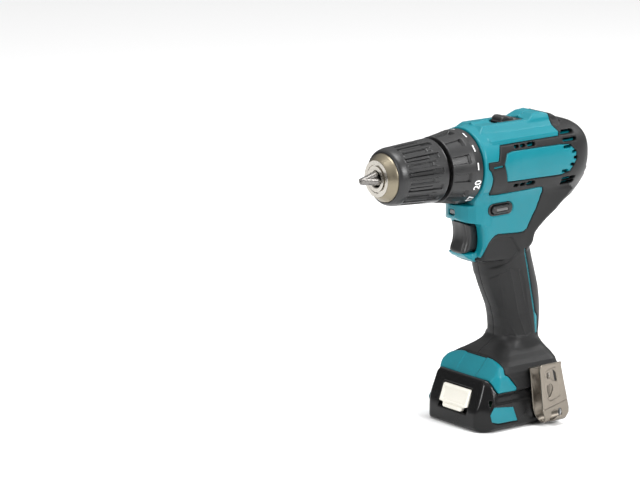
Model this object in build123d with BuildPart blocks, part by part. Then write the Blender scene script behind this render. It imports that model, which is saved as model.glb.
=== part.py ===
from build123d import *
import os
from math import acos, asin, atan, cos, hypot, pi, radians, sin, sqrt, tan

os.makedirs("parts", exist_ok=True)

# ---------------------------------------------------------------- driving dimensions (mm)
ZA = 178.0            # height of the spindle axis above the battery's underside
TAIL_X = -67.6        # rear of the body
TIP_X = 120.0         # front of the closed jaws
SKIN = 1.6            # overmould thickness
WALL = 2.4            # housing wall
PACK_HALF = 32.75     # battery half width
PACK_TOP = 25.6       # battery shoulder height
PACK_FRONT = 41.2
PACK_REAR = -34.0
HOOD_Z = 34.5         # top of the battery's front hood
MODULE = 0.8
SUN_T, PLANET_T, RING_T = 15, 12, 39
GEAR_W = 6.0
CARRIER_R = MODULE * (SUN_T + PLANET_T) / 2
PIN_R = 1.5
BACKLASH = 0.14       # thinning of each tooth at the pitch circle
JAW_ANGLE = 15.0
JAW_R = 2.9
JAW_CROSS = 2.3       # radius of a jaw's centre line at the nose
NOSE_X = 107.2
GRIP_R = 0.5          # jaws closed on a 1 mm bore
LAND = 0.25           # flat of each jaw before the bore is ground
RING_X0, RING_X1 = 36.2, 59.5
CLIP_X, CLIP_Z = -10.0, 34.0
SPINDLE = Axis((0, 0, ZA), (1, 0, 0))
STAGE1_X, STAGE2_X = -3.5, 8.0
LATCH_TRAVEL, TRIGGER_TRAVEL, SPEED_TRAVEL = 2.2, 7.0, 7.0


def across(x):
    "Plane square to the spindle at x, with local x along +Y and local y along +Z"
    return Plane(origin=(x, 0, ZA), x_dir=(0, 1, 0), z_dir=(1, 0, 0))


def turned(*pts):
    "Half section given as (x, radius) about the spindle"
    with BuildSketch(Plane.XZ) as sk:
        with BuildLine():
            Polyline(*[(x, ZA + r) for x, r in pts], close=True)
        make_face()
    return sk.sketch


def side(*pts, y=0.0):
    "Side-view outline given as (x, z) on the plane y, facing -Y"
    with BuildSketch(Plane.XZ.offset(-y)) as sk:
        with BuildLine():
            Polyline(*pts, close=True)
        make_face()
    return sk.sketch


def inv(a):
    return tan(a) - a


def gear(x, teeth, phase, tip, root, thin, hole=0.0):
    "Involute outline, tooth centre at angle phase (radians from local x)"
    rp = MODULE * teeth / 2
    rb = rp * cos(radians(20))
    half0 = pi / (2 * teeth) - thin / (2 * rp) + inv(radians(20))

    def half(r):
        return half0 - (inv(acos(rb / r)) if r > rb else 0.0)

    radii = [max(rb, root) + (tip - max(rb, root)) * k / 5 for k in range(6)]
    pts = []
    for t in range(teeth):
        c = phase + 2 * pi * t / teeth
        flank = [(root, c - half(radii[0]) * (1.0 if root >= rb else 1.04))] if root < radii[0] - 1e-6 else []
        flank += [(r, c - half(r)) for r in radii]
        flank += [(r, 2 * c - a) for r, a in reversed(flank)]
        pts += [(r * cos(a), r * sin(a)) for r, a in flank]
    with BuildSketch(across(x)) as sk:
        with BuildLine():
            Polyline(*pts, close=True)
        make_face()
        if hole:
            Circle(hole, mode=Mode.SUBTRACT)
    return sk.sketch


R_SUN, R_PLANET, R_RING = (MODULE * n / 2 for n in (SUN_T, PLANET_T, RING_T))


def planet_phase(angle, sun_phase=0.0):
    return angle + pi - pi / PLANET_T + SUN_T / PLANET_T * (angle - sun_phase)


def ring_phase(angle=0.0):
    "angle of a ring-gear space, in mesh with the planet at the given angle"
    return angle - PLANET_T / RING_T * (angle - planet_phase(angle))


# ---------------------------------------------------------------- outer form of the two housing halves
# (z, rear x, front x, half width, corner radius)
GRIP_SECTIONS = [
    (26.0, -31.0, 30.4, 31.6, 9), (35.6, -31.0, 29.8, 31.2, 9), (42.0, -30.6, 23.8, 28.0, 9),
    (46.5, -30.3, 18.6, 22.0, 9), (51.0, -29.8, 11.5, 17.8, 9), (60.0, -30.0, 6.6, 16.4, 10),
    (73.5, -30.7, 7.9, 16.0, 11), (85.0, -29.9, 12.9, 16.2, 11), (97.0, -27.3, 17.5, 16.5, 11),
    (108.0, -23.6, 20.6, 17.0, 11), (118.0, -20.5, 24.5, 17.4, 11), (126.0, -21.0, 25.0, 17.6, 10),
    (133.0, -25.0, 27.5, 17.9, 10), (140.6, -38.0, 30.0, 18.2, 10), (142.2, -41.5, 38.5, 18.4, 10),
    (148.0, -52.0, 43.0, 18.8, 10), (151.6, -54.5, 43.0, 19.6, 10), (152.5, -55.0, 35.4, 19.8, 10),
    (155.0, -57.0, 35.2, 21.0, 11), (164.0, -60.0, 35.0, 24.0, 11),
]


def shell_form(g):
    "The housing's outer form, grown by g (negative is inwards)"
    with BuildPart() as f:
        sections = []
        for z, x0, x1, b, r in GRIP_SECTIONS:
            with BuildSketch(Plane.XY.offset(z + (1.5 * -g if z < 27 and g < -3 else 0))) as s:
                with Locations(((x0 + x1) / 2, 0)):
                    RectangleRounded(x1 - x0 + 2 * g, 2 * (b + g), r + g * 0.9)
            sections.append(s.sketch)
        loft(sections, ruled=True)
        # nose below the ring narrows to a blunt beak around the work light
        for s in (1, -1):
            beak = [(23, 19.6), (29, 17.8), (34.5, 14.0), (38.5, 10.0), (41.5, 5.6), (43.4, 2.4), (60, 2.4), (60, 40), (23, 40)]
            with BuildSketch(Plane.XY.offset(140.7)) as plan:
                with BuildLine():
                    Polyline(*[(x + 0.62 * g, s * max(y + 0.8 * g, 0.6) if y < 39 else s * y) for x, y in beak], close=True)
                make_face()
            extrude(plan.sketch, amount=11.6, mode=Mode.SUBTRACT)
        revolve(turned((TAIL_X - g, 0), (TAIL_X - g, 13 + g), (-63 - g, 18.5 + g), (-55, 23.2 + g), (-40, 25.2 + g),
                       (-10, 26.2 + g), (11, 26.6 + g), (27, 26.6 + g), (35.7 + g, 26.0 + g),
                       (35.7 + g, 0)), axis=SPINDLE)
        # flat-topped rail and raised rear hump
        extrude(side((-38 - g, 176), (-38 - g, 203.0 + g), (-33, 204.6 + g), (26.5 + g, 205.0 + g), (33.5 + g, 200 + g), (33.5 + g, 176)),
                amount=12.5 + g, both=True)
        extrude(side((-36 - g, 176), (-36 - g, 198.0 + g), (27 + g, 198.6 + g), (31 + g, 195.5 + g), (31 + g, 176)),
                amount=18.6 + g, both=True)
        extrude(side((-41 - g, 182), (-41 - g, 203 + g), (-33, 208 + g), (-22, 209.2 + g), (-15, 207 + g), (-13, 204 + g), (-13, 182)),
                amount=10.5 + g, both=True)
        # lip below the trigger
        extrude(side((16, 113), (30.5 + g, 113.6), (37.4 + g, 117.6), (37.4 + g, 119.2 + g * 0.3), (16, 119.2 + g * 0.3)),
                amount=8.8 + g, both=True)
    return f.part


BLACK = [(-33, 230), (-33, 194), (22, 194), (25, 183.2), (33.4, 183.3), (32.6, 180), (29.3, 176.7), (27.6, 169.7),
         (28.5, 160), (19.7, 159.1), (-15.6, 161.3), (-20.8, 159.3), (-16.4, 148.9), (-12, 137.8), (-7.5, 130.9),
         (-1.3, 130.4), (19, 131.4), (24.3, 130.8), (26.9, 122), (29, 113), (60, 100), (60, 60), (18.8, 60),
         (18.8, 44), (20.2, 37.6), (10.9, 28.2), (10.9, 24), (-90, 24), (-90, 230)]
BADGE = [(19.7, 181.5), (15.4, 188.6), (-38.7, 188.7), (-45.1, 182.3), (-44.2, 177), (-38.8, 171.5), (13.6, 168.8),
         (19.7, 173)]
STRIPE = [(-7.6, 118), (-6.9, 117.6), (-13.2, 89.8), (-15.9, 78.9), (-17.2, 71.8), (-19.3, 57.4), (-21.6, 57.4),
          (-21.2, 70.4), (-17.6, 72.5), (-16.3, 80), (-10.2, 107.7)]

OUTER = shell_form(0.0)
UNDER = shell_form(-SKIN)
CAVITY = shell_form(-SKIN - WALL)

with BuildPart() as overmould:
    add(OUTER)
    add(UNDER, mode=Mode.SUBTRACT)
    with BuildSketch(Plane.XZ) as black_area:
        with BuildLine():
            Polyline(*BLACK, close=True)
        make_face()
        with BuildLine():
            Polyline(*BADGE, close=True)
        make_face(mode=Mode.SUBTRACT)
        with BuildLine():
            Polyline(*STRIPE, close=True)
        make_face(mode=Mode.SUBTRACT)
    extrude(amount=60, both=True, mode=Mode.INTERSECT)
    # open underside, battery pocket and hood
    extrude(side((-90, 0), (-90, 29), (90, 29), (90, 0)), amount=24.4, both=True, mode=Mode.SUBTRACT)
    # seat of the belt clip, clear of both screw bosses
    for s in (1, -1):
        with Locations(Pos(CLIP_X, s * 31, CLIP_Z)):
            Cylinder(5.2, 12, rotation=(90, 0, 0), mode=Mode.SUBTRACT)
SKIN_PART = overmould.part

# parts of the tool that break the shell
CAP = [(18.9, 60), (60, 60), (60, 20), (11.0, 24), (11.0, 28.2), (20.3, 37.6), (18.9, 44)]


def shell_cuts():
    "Everything cut out of both housing halves, as one solid group"
    with BuildPart() as c:
        add(CAVITY)
        extrude(side((13, 119.3), (60, 119.3), (60, 140.9), (13, 140.9)), amount=9.4, both=True)          # trigger
        extrude(side((12, 119.3), (16, 119.3), (16, 140.9), (12, 140.9)), amount=9.4, both=True)
        revolve(turned((31, 0), (31, 20.82), (50, 20.82), (50, 0)), axis=SPINDLE)                          # nose bore
        with Locations((16, 0, 149)):                                                                      # reverse lever
            Box(17.4, 90, 6.4)
        with Locations((-1, 0, 204)):                                                                      # speed lever
            Box(26, 13, 14)
        extrude(side((21.0, 25.0), (30.2, 35.0), (60, 35.0), (60, 0), (-90, 0), (-90, 26.0), (21.0, 26.0)),
                amount=60, both=True)                                                                      # pack shoulder
        extrude(side((-29.0, 20), (60, 20), (60, 27.5), (-29.0, 27.5)), amount=21.4, both=True)            # rail neck
        extrude(side((-29.0, 27.3), (60, 27.3), (60, 30.2), (-29.0, 30.2)), amount=24.4, both=True)        # rail flange
        for z in (168.5, 189.5):                                                                          # cooling slots
            for x in (-12, -5, 2):
                with Locations((x, 0, z + (1.8 if z > 180 else -3.2))):
                    Box(5, 90, 1.9)
        for z in (196.0, 192.0, 164.5, 160.5):
            with Locations((-47.5, 0, z)):
                Box(13, 90, 1.8)
        with Locations((43.0, 0, 148.5)):                                                                  # work light
            Box(9, 7.2, 4.2)
        with Locations((-19, 0, 31)):                                                                      # terminal block
            Box(15, 25, 5)
    return c.part


CUTS = shell_cuts()

# foot cap, a faceted front cover that wraps to both sides
with BuildPart() as foot_cap:
    add(OUTER)
    add(UNDER, mode=Mode.SUBTRACT)
    extrude(side(*CAP), amount=60, both=True, mode=Mode.INTERSECT)
    add(CUTS, mode=Mode.SUBTRACT)
    add(SKIN_PART, mode=Mode.SUBTRACT)
foot_cap.part.label = "foot_cap"
export_step(foot_cap.part, "parts/foot_cap.step")

SCREWS = ((-22, 146), (16.5, 112.0), (-22, 66), (-43, 152.5))

with BuildPart() as housing_left:
    add(OUTER)
    add(CUTS, mode=Mode.SUBTRACT)
    with Locations((CLIP_X, 28.9, CLIP_Z)):                       # boss under the belt clip
        Cylinder(5.0, 8.6, rotation=(90, 0, 0))
    for x, z in SCREWS:
        with Locations((x, 7.5, z)):
            Cylinder(3.0, 14.8, rotation=(90, 0, 0))
    add(SKIN_PART, mode=Mode.SUBTRACT)
    add(foot_cap.part, mode=Mode.SUBTRACT)
    with Locations((0, 50, 100)):
        Box(300, 100, 260, mode=Mode.INTERSECT)
    with Locations((CLIP_X, 28.9, CLIP_Z)):
        Cylinder(2.0, 9.2, rotation=(90, 0, 0), mode=Mode.SUBTRACT)
    for x, z in SCREWS:
        with Locations((x, 6, z)):
            Cylinder(1.45, 12.2, rotation=(90, 0, 0), mode=Mode.SUBTRACT)
    add(housing_left.part.solids().sort_by(SortBy.VOLUME)[-1], mode=Mode.REPLACE)
housing_left.part.label = "housing_left"
export_step(housing_left.part, "parts/housing_left.step")

with BuildPart() as housing_right:
    add(OUTER)
    add(CUTS, mode=Mode.SUBTRACT)
    with Locations((CLIP_X, -28.9, CLIP_Z)):
        Cylinder(5.0, 8.6, rotation=(90, 0, 0))
    for x, z in SCREWS:
        with Locations((x, -7.5, z)):
            Cylinder(4.2, 14.8, rotation=(90, 0, 0))
    add(SKIN_PART, mode=Mode.SUBTRACT)
    add(foot_cap.part, mode=Mode.SUBTRACT)
    with Locations((0, -50, 100)):
        Box(300, 100, 260, mode=Mode.INTERSECT)
    with Locations((CLIP_X, -29.2, CLIP_Z)):
        Cylinder(2.0, 8.0, rotation=(90, 0, 0), mode=Mode.SUBTRACT)
    for x, z in SCREWS:
        with Locations((x, -6, z)):
            Cylinder(1.6, 12.2, rotation=(90, 0, 0), mode=Mode.SUBTRACT)
        with Locations((x, -22, z)):
            Cylinder(3.1, 24, rotation=(90, 0, 0), mode=Mode.SUBTRACT)
    add(housing_right.part.solids().sort_by(SortBy.VOLUME)[-1], mode=Mode.REPLACE)
housing_right.part.label = "housing_right"
export_step(housing_right.part, "parts/housing_right.step")

with BuildPart() as grip_overmould_left:
    add(SKIN_PART)
    add(CUTS, mode=Mode.SUBTRACT)
    with Locations((0, 50.01, 100)):
        Box(300, 100, 260, mode=Mode.INTERSECT)
grip_overmould_left.part.label = "grip_overmould_left"
export_step(grip_overmould_left.part, "parts/grip_overmould_left.step")

with BuildPart() as grip_overmould_right:
    add(SKIN_PART)
    add(CUTS, mode=Mode.SUBTRACT)
    with Locations((0, -50.01, 100)):
        Box(300, 100, 260, mode=Mode.INTERSECT)
    for x, z in SCREWS:
        with Locations((x, -20, z)):
            Cylinder(3.1, 30, rotation=(90, 0, 0), mode=Mode.SUBTRACT)
grip_overmould_right.part.label = "grip_overmould_right"
export_step(grip_overmould_right.part, "parts/grip_overmould_right.step")

# four case screws driven from the right, heads on the bosses
with BuildPart() as housing_screws:
    for x, z in SCREWS:
        with Locations((x, -3.6, z)):
            Cylinder(1.4, 15.0, rotation=(90, 0, 0))
        with Locations((x, -11.2, z)):
            Cylinder(2.9, 2.2, rotation=(90, 0, 0))
housing_screws.part.label = "housing_screws"
export_step(housing_screws.part, "parts/housing_screws.step")

# ---------------------------------------------------------------- torque clutch
with BuildPart() as torque_ring:
    revolve(turned((RING_X0, 20.0), (RING_X0, 24.9), (42, 24.9), (RING_X1, 22.0), (RING_X1, 13.1), (57.6, 13.1),
                   (57.6, 20.0)), axis=SPINDLE)
    with BuildSketch(across(46.5)):
        with PolarLocations(24.6, 12, start_angle=-7):
            Rectangle(2.6, 6.4)
    extrude(amount=14, mode=Mode.SUBTRACT)
    with BuildSketch(across(RING_X0 + 1.3)):                      # two drive ribs inside
        with PolarLocations(19.5, 2):
            Rectangle(1.5, 3)
    extrude(amount=19)
torque_ring.part.label = "torque_ring"
export_step(torque_ring.part, "parts/torque_ring.step")

with BuildPart() as torque_nut:                                    # threaded spring seat, keyed to the ring
    with BuildSketch(across(47.0)):
        Circle(18.6)
        Circle(12.7, mode=Mode.SUBTRACT)
        with PolarLocations(18.6, 2):
            Rectangle(1.6, 3.4, mode=Mode.SUBTRACT)
    extrude(amount=3.2)
torque_nut.part.label = "torque_nut"
export_step(torque_nut.part, "parts/torque_nut.step")


with BuildPart() as clutch_spring:                                 # fully compressed in the drilling position
    with BuildLine() as coil:
        Helix(pitch=2.1, height=6.3, radius=15.6, center=(39.3, 0, ZA), direction=(1, 0, 0))
    with BuildSketch(Plane(origin=coil.line @ 0, z_dir=coil.line % 0)):
        Circle(0.75)
    sweep(is_frenet=True)
clutch_spring.part.label = "clutch_spring"
export_step(clutch_spring.part, "parts/clutch_spring.step")

with BuildPart() as clutch_washer:
    revolve(turned((37.1, 12.9), (37.1, 18.6), (38.4, 18.6), (38.4, 12.9)), axis=SPINDLE)
clutch_washer.part.label = "clutch_washer"
export_step(clutch_washer.part, "parts/clutch_washer.step")

with BuildPart() as clutch_pins:                                   # press on the bumps of the second ring gear
    with BuildSketch(across(15.7)):
        with PolarLocations(16.3, 6, start_angle=20):
            Circle(1.4)
    extrude(amount=21.3)
clutch_pins.part.label = "clutch_pins"
export_step(clutch_pins.part, "parts/clutch_pins.step")

# ---------------------------------------------------------------- gear box
with BuildPart() as gear_case:
    revolve(turned((-7.5, 18.3), (-7.5, 20.4), (31.2, 20.4), (31.2, 20.78), (35.7, 20.78), (35.7, 12.5), (57.3, 12.5),
                   (57.3, 11.03), (50.4, 11.03), (50.4, 8.3), (20.0, 8.3), (20.0, 18.3)), axis=SPINDLE)
    with BuildSketch(across(19)):
        with PolarLocations(16.3, 6, start_angle=20):
            Circle(1.5)
    extrude(amount=20, mode=Mode.SUBTRACT)
    with BuildSketch(across(12.0)):                                # anti-rotation lugs
        with PolarLocations(20.9, 4, start_angle=45):
            Rectangle(1.8, 6)
    extrude(amount=16)
gear_case.part.label = "gear_case"
export_step(gear_case.part, "parts/gear_case.step")

with BuildPart() as motor_plate:
    revolve(turned((-10, 7.3), (-10, 20.4), (-7.6, 20.4), (-7.6, 18.2), (-5.0, 18.2), (-5.0, 7.3)), axis=SPINDLE)
motor_plate.part.label = "motor_plate"
export_step(motor_plate.part, "parts/motor_plate.step")

with BuildPart() as ring_gear_1:
    with BuildSketch(across(-4.5)):
        Circle(18.2)
    extrude(amount=8.0)
    extrude(gear(-4.6, RING_T, ring_phase(pi / 2), R_RING + 1.0, R_RING - 0.76, -BACKLASH), amount=8.2, mode=Mode.SUBTRACT)
ring_gear_1.part.label = "ring_gear_1"
export_step(ring_gear_1.part, "parts/ring_gear_1.step")

with BuildPart() as ring_gear_2:                                    # clutch ring, held by the pins
    with BuildSketch(across(7.0)):
        Circle(18.2)
    extrude(amount=8.4)
    extrude(gear(6.9, RING_T, ring_phase(pi / 2), R_RING + 1.0, R_RING - 0.76, -BACKLASH), amount=8.6, mode=Mode.SUBTRACT)
ring_gear_2.part.label = "ring_gear_2"
export_step(ring_gear_2.part, "parts/ring_gear_2.step")

with BuildPart() as pinion:
    extrude(gear(-4.8, SUN_T, 0.0, R_SUN + 0.76, R_SUN - 1.0, BACKLASH, hole=1.6), amount=7.3)
pinion.part.label = "pinion"
export_step(pinion.part, "parts/pinion.step")

with BuildPart() as carrier_1:                                     # first stage carrier with the second sun
    with BuildSketch(across(3.9)):
        Circle(13.6)
        with PolarLocations(13.6, 3, start_angle=30):
            Circle(4.2, mode=Mode.SUBTRACT)
    extrude(amount=2.2)
    with BuildSketch(across(STAGE1_X - 0.1)):
        with PolarLocations(CARRIER_R, 3, start_angle=90):
            Circle(PIN_R)
    extrude(amount=7.6)
    extrude(gear(6.0, SUN_T, 0.0, R_SUN + 0.76, R_SUN - 1.0, BACKLASH), amount=8.2)
carrier_1.part.label = "carrier_1"
export_step(carrier_1.part, "parts/carrier_1.step")

with BuildPart() as output_carrier:
    with BuildSketch(across(15.6)):
        Circle(13.6)
        with PolarLocations(13.6, 3, start_angle=30):
            Circle(4.2, mode=Mode.SUBTRACT)
    extrude(amount=3.4)
    with BuildSketch(across(19.0)):
        Circle(7.9)
    extrude(amount=7.0)
    with BuildSketch(across(18.0)):
        Circle(5.02)
    extrude(amount=8.2, mode=Mode.SUBTRACT)
    with BuildSketch(across(STAGE2_X - 0.1)):
        with PolarLocations(CARRIER_R, 3, start_angle=90):
            Circle(PIN_R)
    extrude(amount=7.8)
output_carrier.part.label = "output_carrier"
export_step(output_carrier.part, "parts/output_carrier.step")


def planet_face(x, k):
    "One planet's outline in mesh, centred on its pin at 90 + 120 k degrees"
    a = pi / 2 + k * 2 * pi / 3
    face = gear(x, PLANET_T, planet_phase(a), R_PLANET + 0.76, R_PLANET - 0.96, BACKLASH, hole=PIN_R + 0.06)
    return face.moved(Pos(0, CARRIER_R * cos(a), CARRIER_R * sin(a)))


with BuildPart() as planet_1a:
    extrude(planet_face(STAGE1_X, 0), amount=GEAR_W)
planet_1a.part.label = "planet_1a"
export_step(planet_1a.part, "parts/planet_1a.step")
with BuildPart() as planet_1b:
    extrude(planet_face(STAGE1_X, 1), amount=GEAR_W)
planet_1b.part.label = "planet_1b"
export_step(planet_1b.part, "parts/planet_1b.step")
with BuildPart() as planet_1c:
    extrude(planet_face(STAGE1_X, 2), amount=GEAR_W)
planet_1c.part.label = "planet_1c"
export_step(planet_1c.part, "parts/planet_1c.step")
with BuildPart() as planet_2a:
    extrude(planet_face(STAGE2_X, 0), amount=GEAR_W)
planet_2a.part.label = "planet_2a"
export_step(planet_2a.part, "parts/planet_2a.step")
with BuildPart() as planet_2b:
    extrude(planet_face(STAGE2_X, 1), amount=GEAR_W)
planet_2b.part.label = "planet_2b"
export_step(planet_2b.part, "parts/planet_2b.step")
with BuildPart() as planet_2c:
    extrude(planet_face(STAGE2_X, 2), amount=GEAR_W)
planet_2c.part.label = "planet_2c"
export_step(planet_2c.part, "parts/planet_2c.step")

with BuildPart() as spindle:
    revolve(turned((19.2, 0), (19.2, 5.0), (26.2, 5.0), (26.2, 7.8), (47, 7.8), (47, 6.0), (57.6, 6.0), (57.6, 4.7),
                   (79.0, 4.7), (79.0, 2.45), (61.5, 2.45), (61.5, 0)), axis=SPINDLE)
spindle.part.label = "spindle"
export_step(spindle.part, "parts/spindle.step")

BALL_C, BALL_R = 8.55, 1.5
with BuildPart() as front_bearing_outer:
    revolve(turned((50.5, 9.5), (50.5, 11.0), (56.5, 11.0), (56.5, 9.5)), axis=SPINDLE)
    with BuildSketch(Plane.XZ):
        with Locations((53.5, ZA + BALL_C)):
            Circle(BALL_R + 0.06)
    revolve(axis=SPINDLE, mode=Mode.SUBTRACT)
front_bearing_outer.part.label = "front_bearing_outer"
export_step(front_bearing_outer.part, "parts/front_bearing_outer.step")

with BuildPart() as front_bearing_inner:                            # inner race and its balls
    revolve(turned((50.5, 6.02), (50.5, 7.6), (56.5, 7.6), (56.5, 6.02)), axis=SPINDLE)
    with BuildSketch(Plane.XZ):
        with Locations((53.5, ZA + BALL_C)):
            Circle(BALL_R + 0.06)
    revolve(axis=SPINDLE, mode=Mode.SUBTRACT)
    for k in range(9):
        with Locations((53.5, BALL_C * cos(2 * pi * k / 9), ZA + BALL_C * sin(2 * pi * k / 9))):
            Sphere(BALL_R)
front_bearing_inner.part.label = "front_bearing_inner"
export_step(front_bearing_inner.part, "parts/front_bearing_inner.step")

# ---------------------------------------------------------------- three-jaw chuck
TILT = radians(JAW_ANGLE)


def jaw_plane(k, x):
    "Plane square to jaw k's centre line where that line passes x"
    a = pi / 2 + k * 2 * pi / 3
    rho = JAW_CROSS + (NOSE_X - x) * tan(TILT)
    return Plane(origin=(x, rho * cos(a), ZA + rho * sin(a)), x_dir=(0, -sin(a), cos(a)),
                 z_dir=(cos(TILT), -sin(TILT) * cos(a), -sin(TILT) * sin(a)))


def jaw_wedge(k):
    "Sector the jaw keeps to, with its grip face parallel to the spindle"
    a = pi / 2 + k * 2 * pi / 3
    pts = [(LAND, -0.333), (20, -34.5), (20, 34.5), (LAND, 0.333)]
    with BuildSketch(across(60)) as sk:
        with BuildLine():
            Polyline(*[(u * cos(a) - v * sin(a), u * sin(a) + v * cos(a)) for u, v in pts], close=True)
        make_face()
    return sk.sketch


with BuildPart() as chuck_body:
    revolve(turned((62.6, 4.72), (62.6, 16.9), (85.8, 16.9), (85.8, 7.9), (94.2, 7.9), (94.2, 15.0), (97.5, 15.0),
                   (97.5, 12.2), (107.16, 12.2), (107.16, 9.6), (106.2, 9.6), (106.2, 8.6), (107.9, 8.6), (107.9, 6.2),
                   (107.2, 5.5), (79.2, 5.5), (79.2, 4.72)), axis=SPINDLE)
    for k in range(3):
        with BuildSketch(jaw_plane(k, 65.2)):
            Circle(JAW_R + 0.06)
        extrude(amount=50, mode=Mode.SUBTRACT)
chuck_body.part.label = "chuck_body"
export_step(chuck_body.part, "parts/chuck_body.step")

with BuildPart() as jaw_1:
    with BuildSketch(jaw_plane(0, 83.0)):
        Circle(JAW_R)
    extrude(amount=45)
    extrude(jaw_wedge(0), amount=TIP_X - 60, mode=Mode.INTERSECT)
    with BuildSketch(across(60)):
        Circle(GRIP_R)
    extrude(amount=62, mode=Mode.SUBTRACT)
jaw_1.part.label = "jaw_1"
export_step(jaw_1.part, "parts/jaw_1.step")
with BuildPart() as jaw_2:
    with BuildSketch(jaw_plane(1, 83.0)):
        Circle(JAW_R)
    extrude(amount=45)
    extrude(jaw_wedge(1), amount=TIP_X - 60, mode=Mode.INTERSECT)
    with BuildSketch(across(60)):
        Circle(GRIP_R)
    extrude(amount=62, mode=Mode.SUBTRACT)
jaw_2.part.label = "jaw_2"
export_step(jaw_2.part, "parts/jaw_2.step")
with BuildPart() as jaw_3:
    with BuildSketch(jaw_plane(2, 83.0)):
        Circle(JAW_R)
    extrude(amount=45)
    extrude(jaw_wedge(2), amount=TIP_X - 60, mode=Mode.INTERSECT)
    with BuildSketch(across(60)):
        Circle(GRIP_R)
    extrude(amount=62, mode=Mode.SUBTRACT)
jaw_3.part.label = "jaw_3"
export_step(jaw_3.part, "parts/jaw_3.step")

with BuildPart() as jaw_nut:
    ra, rb_ = (JAW_CROSS + (NOSE_X - x) * tan(TILT) + JAW_R / cos(TILT) + 0.1 for x in (86.2, 93.8))
    revolve(turned((86.2, ra), (86.2, 17.2), (93.8, 17.2), (93.8, rb_)), axis=SPINDLE)
jaw_nut.part.label = "jaw_nut"
export_step(jaw_nut.part, "parts/jaw_nut.step")

with BuildPart() as chuck_sleeve:
    revolve(turned((62.4, 17.25), (62.4, 21.3), (63.2, 21.5), (95.6, 19.5), (99.4, 18.7), (101.2, 17.3), (101.2, 16.6),
                   (98.3, 16.6), (98.3, 17.25)), axis=SPINDLE)
    with BuildSketch(Plane(origin=(70, 0, ZA), x_dir=(0, 1, 0), z_dir=(1, 0, -0.06))):
        with PolarLocations(21.9, 12):
            Rectangle(2.2, 4.2)
    extrude(amount=24, mode=Mode.SUBTRACT)
chuck_sleeve.part.label = "chuck_sleeve"
export_step(chuck_sleeve.part, "parts/chuck_sleeve.step")

with BuildPart() as nose_cone:
    revolve(turned((97.6, 12.24), (97.6, 15.8), (98.0, 16.2), (101.5, 16.2), (107.0, 12.5), (107.0, 12.24)), axis=SPINDLE)
nose_cone.part.label = "nose_cone"
export_step(nose_cone.part, "parts/nose_cone.step")

with BuildPart() as chuck_screw:
    revolve(turned((62.5, 0), (62.5, 2.4), (79.4, 2.4), (79.4, 4.3), (81.2, 4.3), (82.2, 3.6), (82.2, 0)), axis=SPINDLE)
    with BuildSketch(across(80.4)):
        RegularPolygon(1.8, 6)
    extrude(amount=3, mode=Mode.SUBTRACT)
chuck_screw.part.label = "chuck_screw"
export_step(chuck_screw.part, "parts/chuck_screw.step")

# ---------------------------------------------------------------- motor
with BuildPart() as motor_can:
    revolve(turned((-54.5, 16.5), (-54.5, 17.6), (-10, 17.6), (-10, 4.0), (-8.6, 4.0), (-8.6, 1.66), (-12, 1.66), (-12, 16.5)),
            axis=SPINDLE)
    for x in (-15.6, -49.0):
        with Locations((x, 0, ZA)):
            Box(3.4, 60, 7, mode=Mode.SUBTRACT)
motor_can.part.label = "motor_can"
export_step(motor_can.part, "parts/motor_can.step")

with BuildPart() as motor_magnets:
    revolve(turned((-45, 12.5), (-45, 16.45), (-18, 16.45), (-18, 12.5)), axis=SPINDLE)
    with Locations((-31.5, 0, ZA)):
        Box(40, 9, 60, mode=Mode.SUBTRACT)
motor_magnets.part.label = "motor_magnets"
export_step(motor_magnets.part, "parts/motor_magnets.step")

with BuildPart() as rotor:                                         # shaft, slotted core and commutator
    revolve(turned((-57.4, 0), (-57.4, 1.6), (-52.4, 1.6), (-52.4, 4.0), (-45, 4.0), (-45, 7.5), (-43, 9.5), (-43, 12.0),
                   (-18, 12.0), (-18, 9.5), (-16.6, 7.5), (-16.6, 1.6), (2.4, 1.6), (2.4, 0)), axis=SPINDLE)
    with BuildSketch(across(-43)):
        with PolarLocations(11.0, 5):
            Rectangle(3.0, 1.6)
    extrude(amount=25, mode=Mode.SUBTRACT)
rotor.part.label = "rotor"
export_step(rotor.part, "parts/rotor.step")

with BuildPart() as cooling_fan:
    with BuildSketch(across(-16.4)):
        Circle(13.5)
        Circle(1.6, mode=Mode.SUBTRACT)
    extrude(amount=0.9)
    with BuildSketch(across(-15.6)):
        with PolarLocations(9.0, 10):
            Rectangle(8.0, 0.9, rotation=25)
    extrude(amount=3.0)
    with BuildSketch(across(-15.6)):
        Circle(4.0)
        Circle(1.6, mode=Mode.SUBTRACT)
    extrude(amount=3.0)
cooling_fan.part.label = "cooling_fan"
export_step(cooling_fan.part, "parts/cooling_fan.step")

with BuildPart() as end_bell:
    revolve(turned((-57.6, 1.66), (-57.6, 14.8), (-54.6, 16.0), (-54.5, 16.45), (-52.4, 16.45), (-52.4, 14.5),
                   (-54.6, 13.5), (-54.6, 3.4), (-53.0, 3.4), (-53.0, 1.66)), axis=SPINDLE)
end_bell.part.label = "end_bell"
export_step(end_bell.part, "parts/end_bell.step")

with BuildPart() as brushes:
    for s in (1, -1):
        with Locations((-48.7, s * 7.8, ZA)):
            Box(4.4, 7.4, 4.4)
brushes.part.label = "brushes"
export_step(brushes.part, "parts/brushes.step")

# ---------------------------------------------------------------- controls
with BuildPart() as switch_module:
    with Locations((-1.6, 0, 128.2)):
        Box(22.8, 18.4, 22.4)
    with Locations((4.0, 0, 130)):
        Box(16, 6.8, 6.8, mode=Mode.SUBTRACT)
    with Locations((-2, 0, 115.2)):
        Box(12, 12, 3.6)
switch_module.part.label = "switch_module"
export_step(switch_module.part, "parts/switch_module.step")

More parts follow.
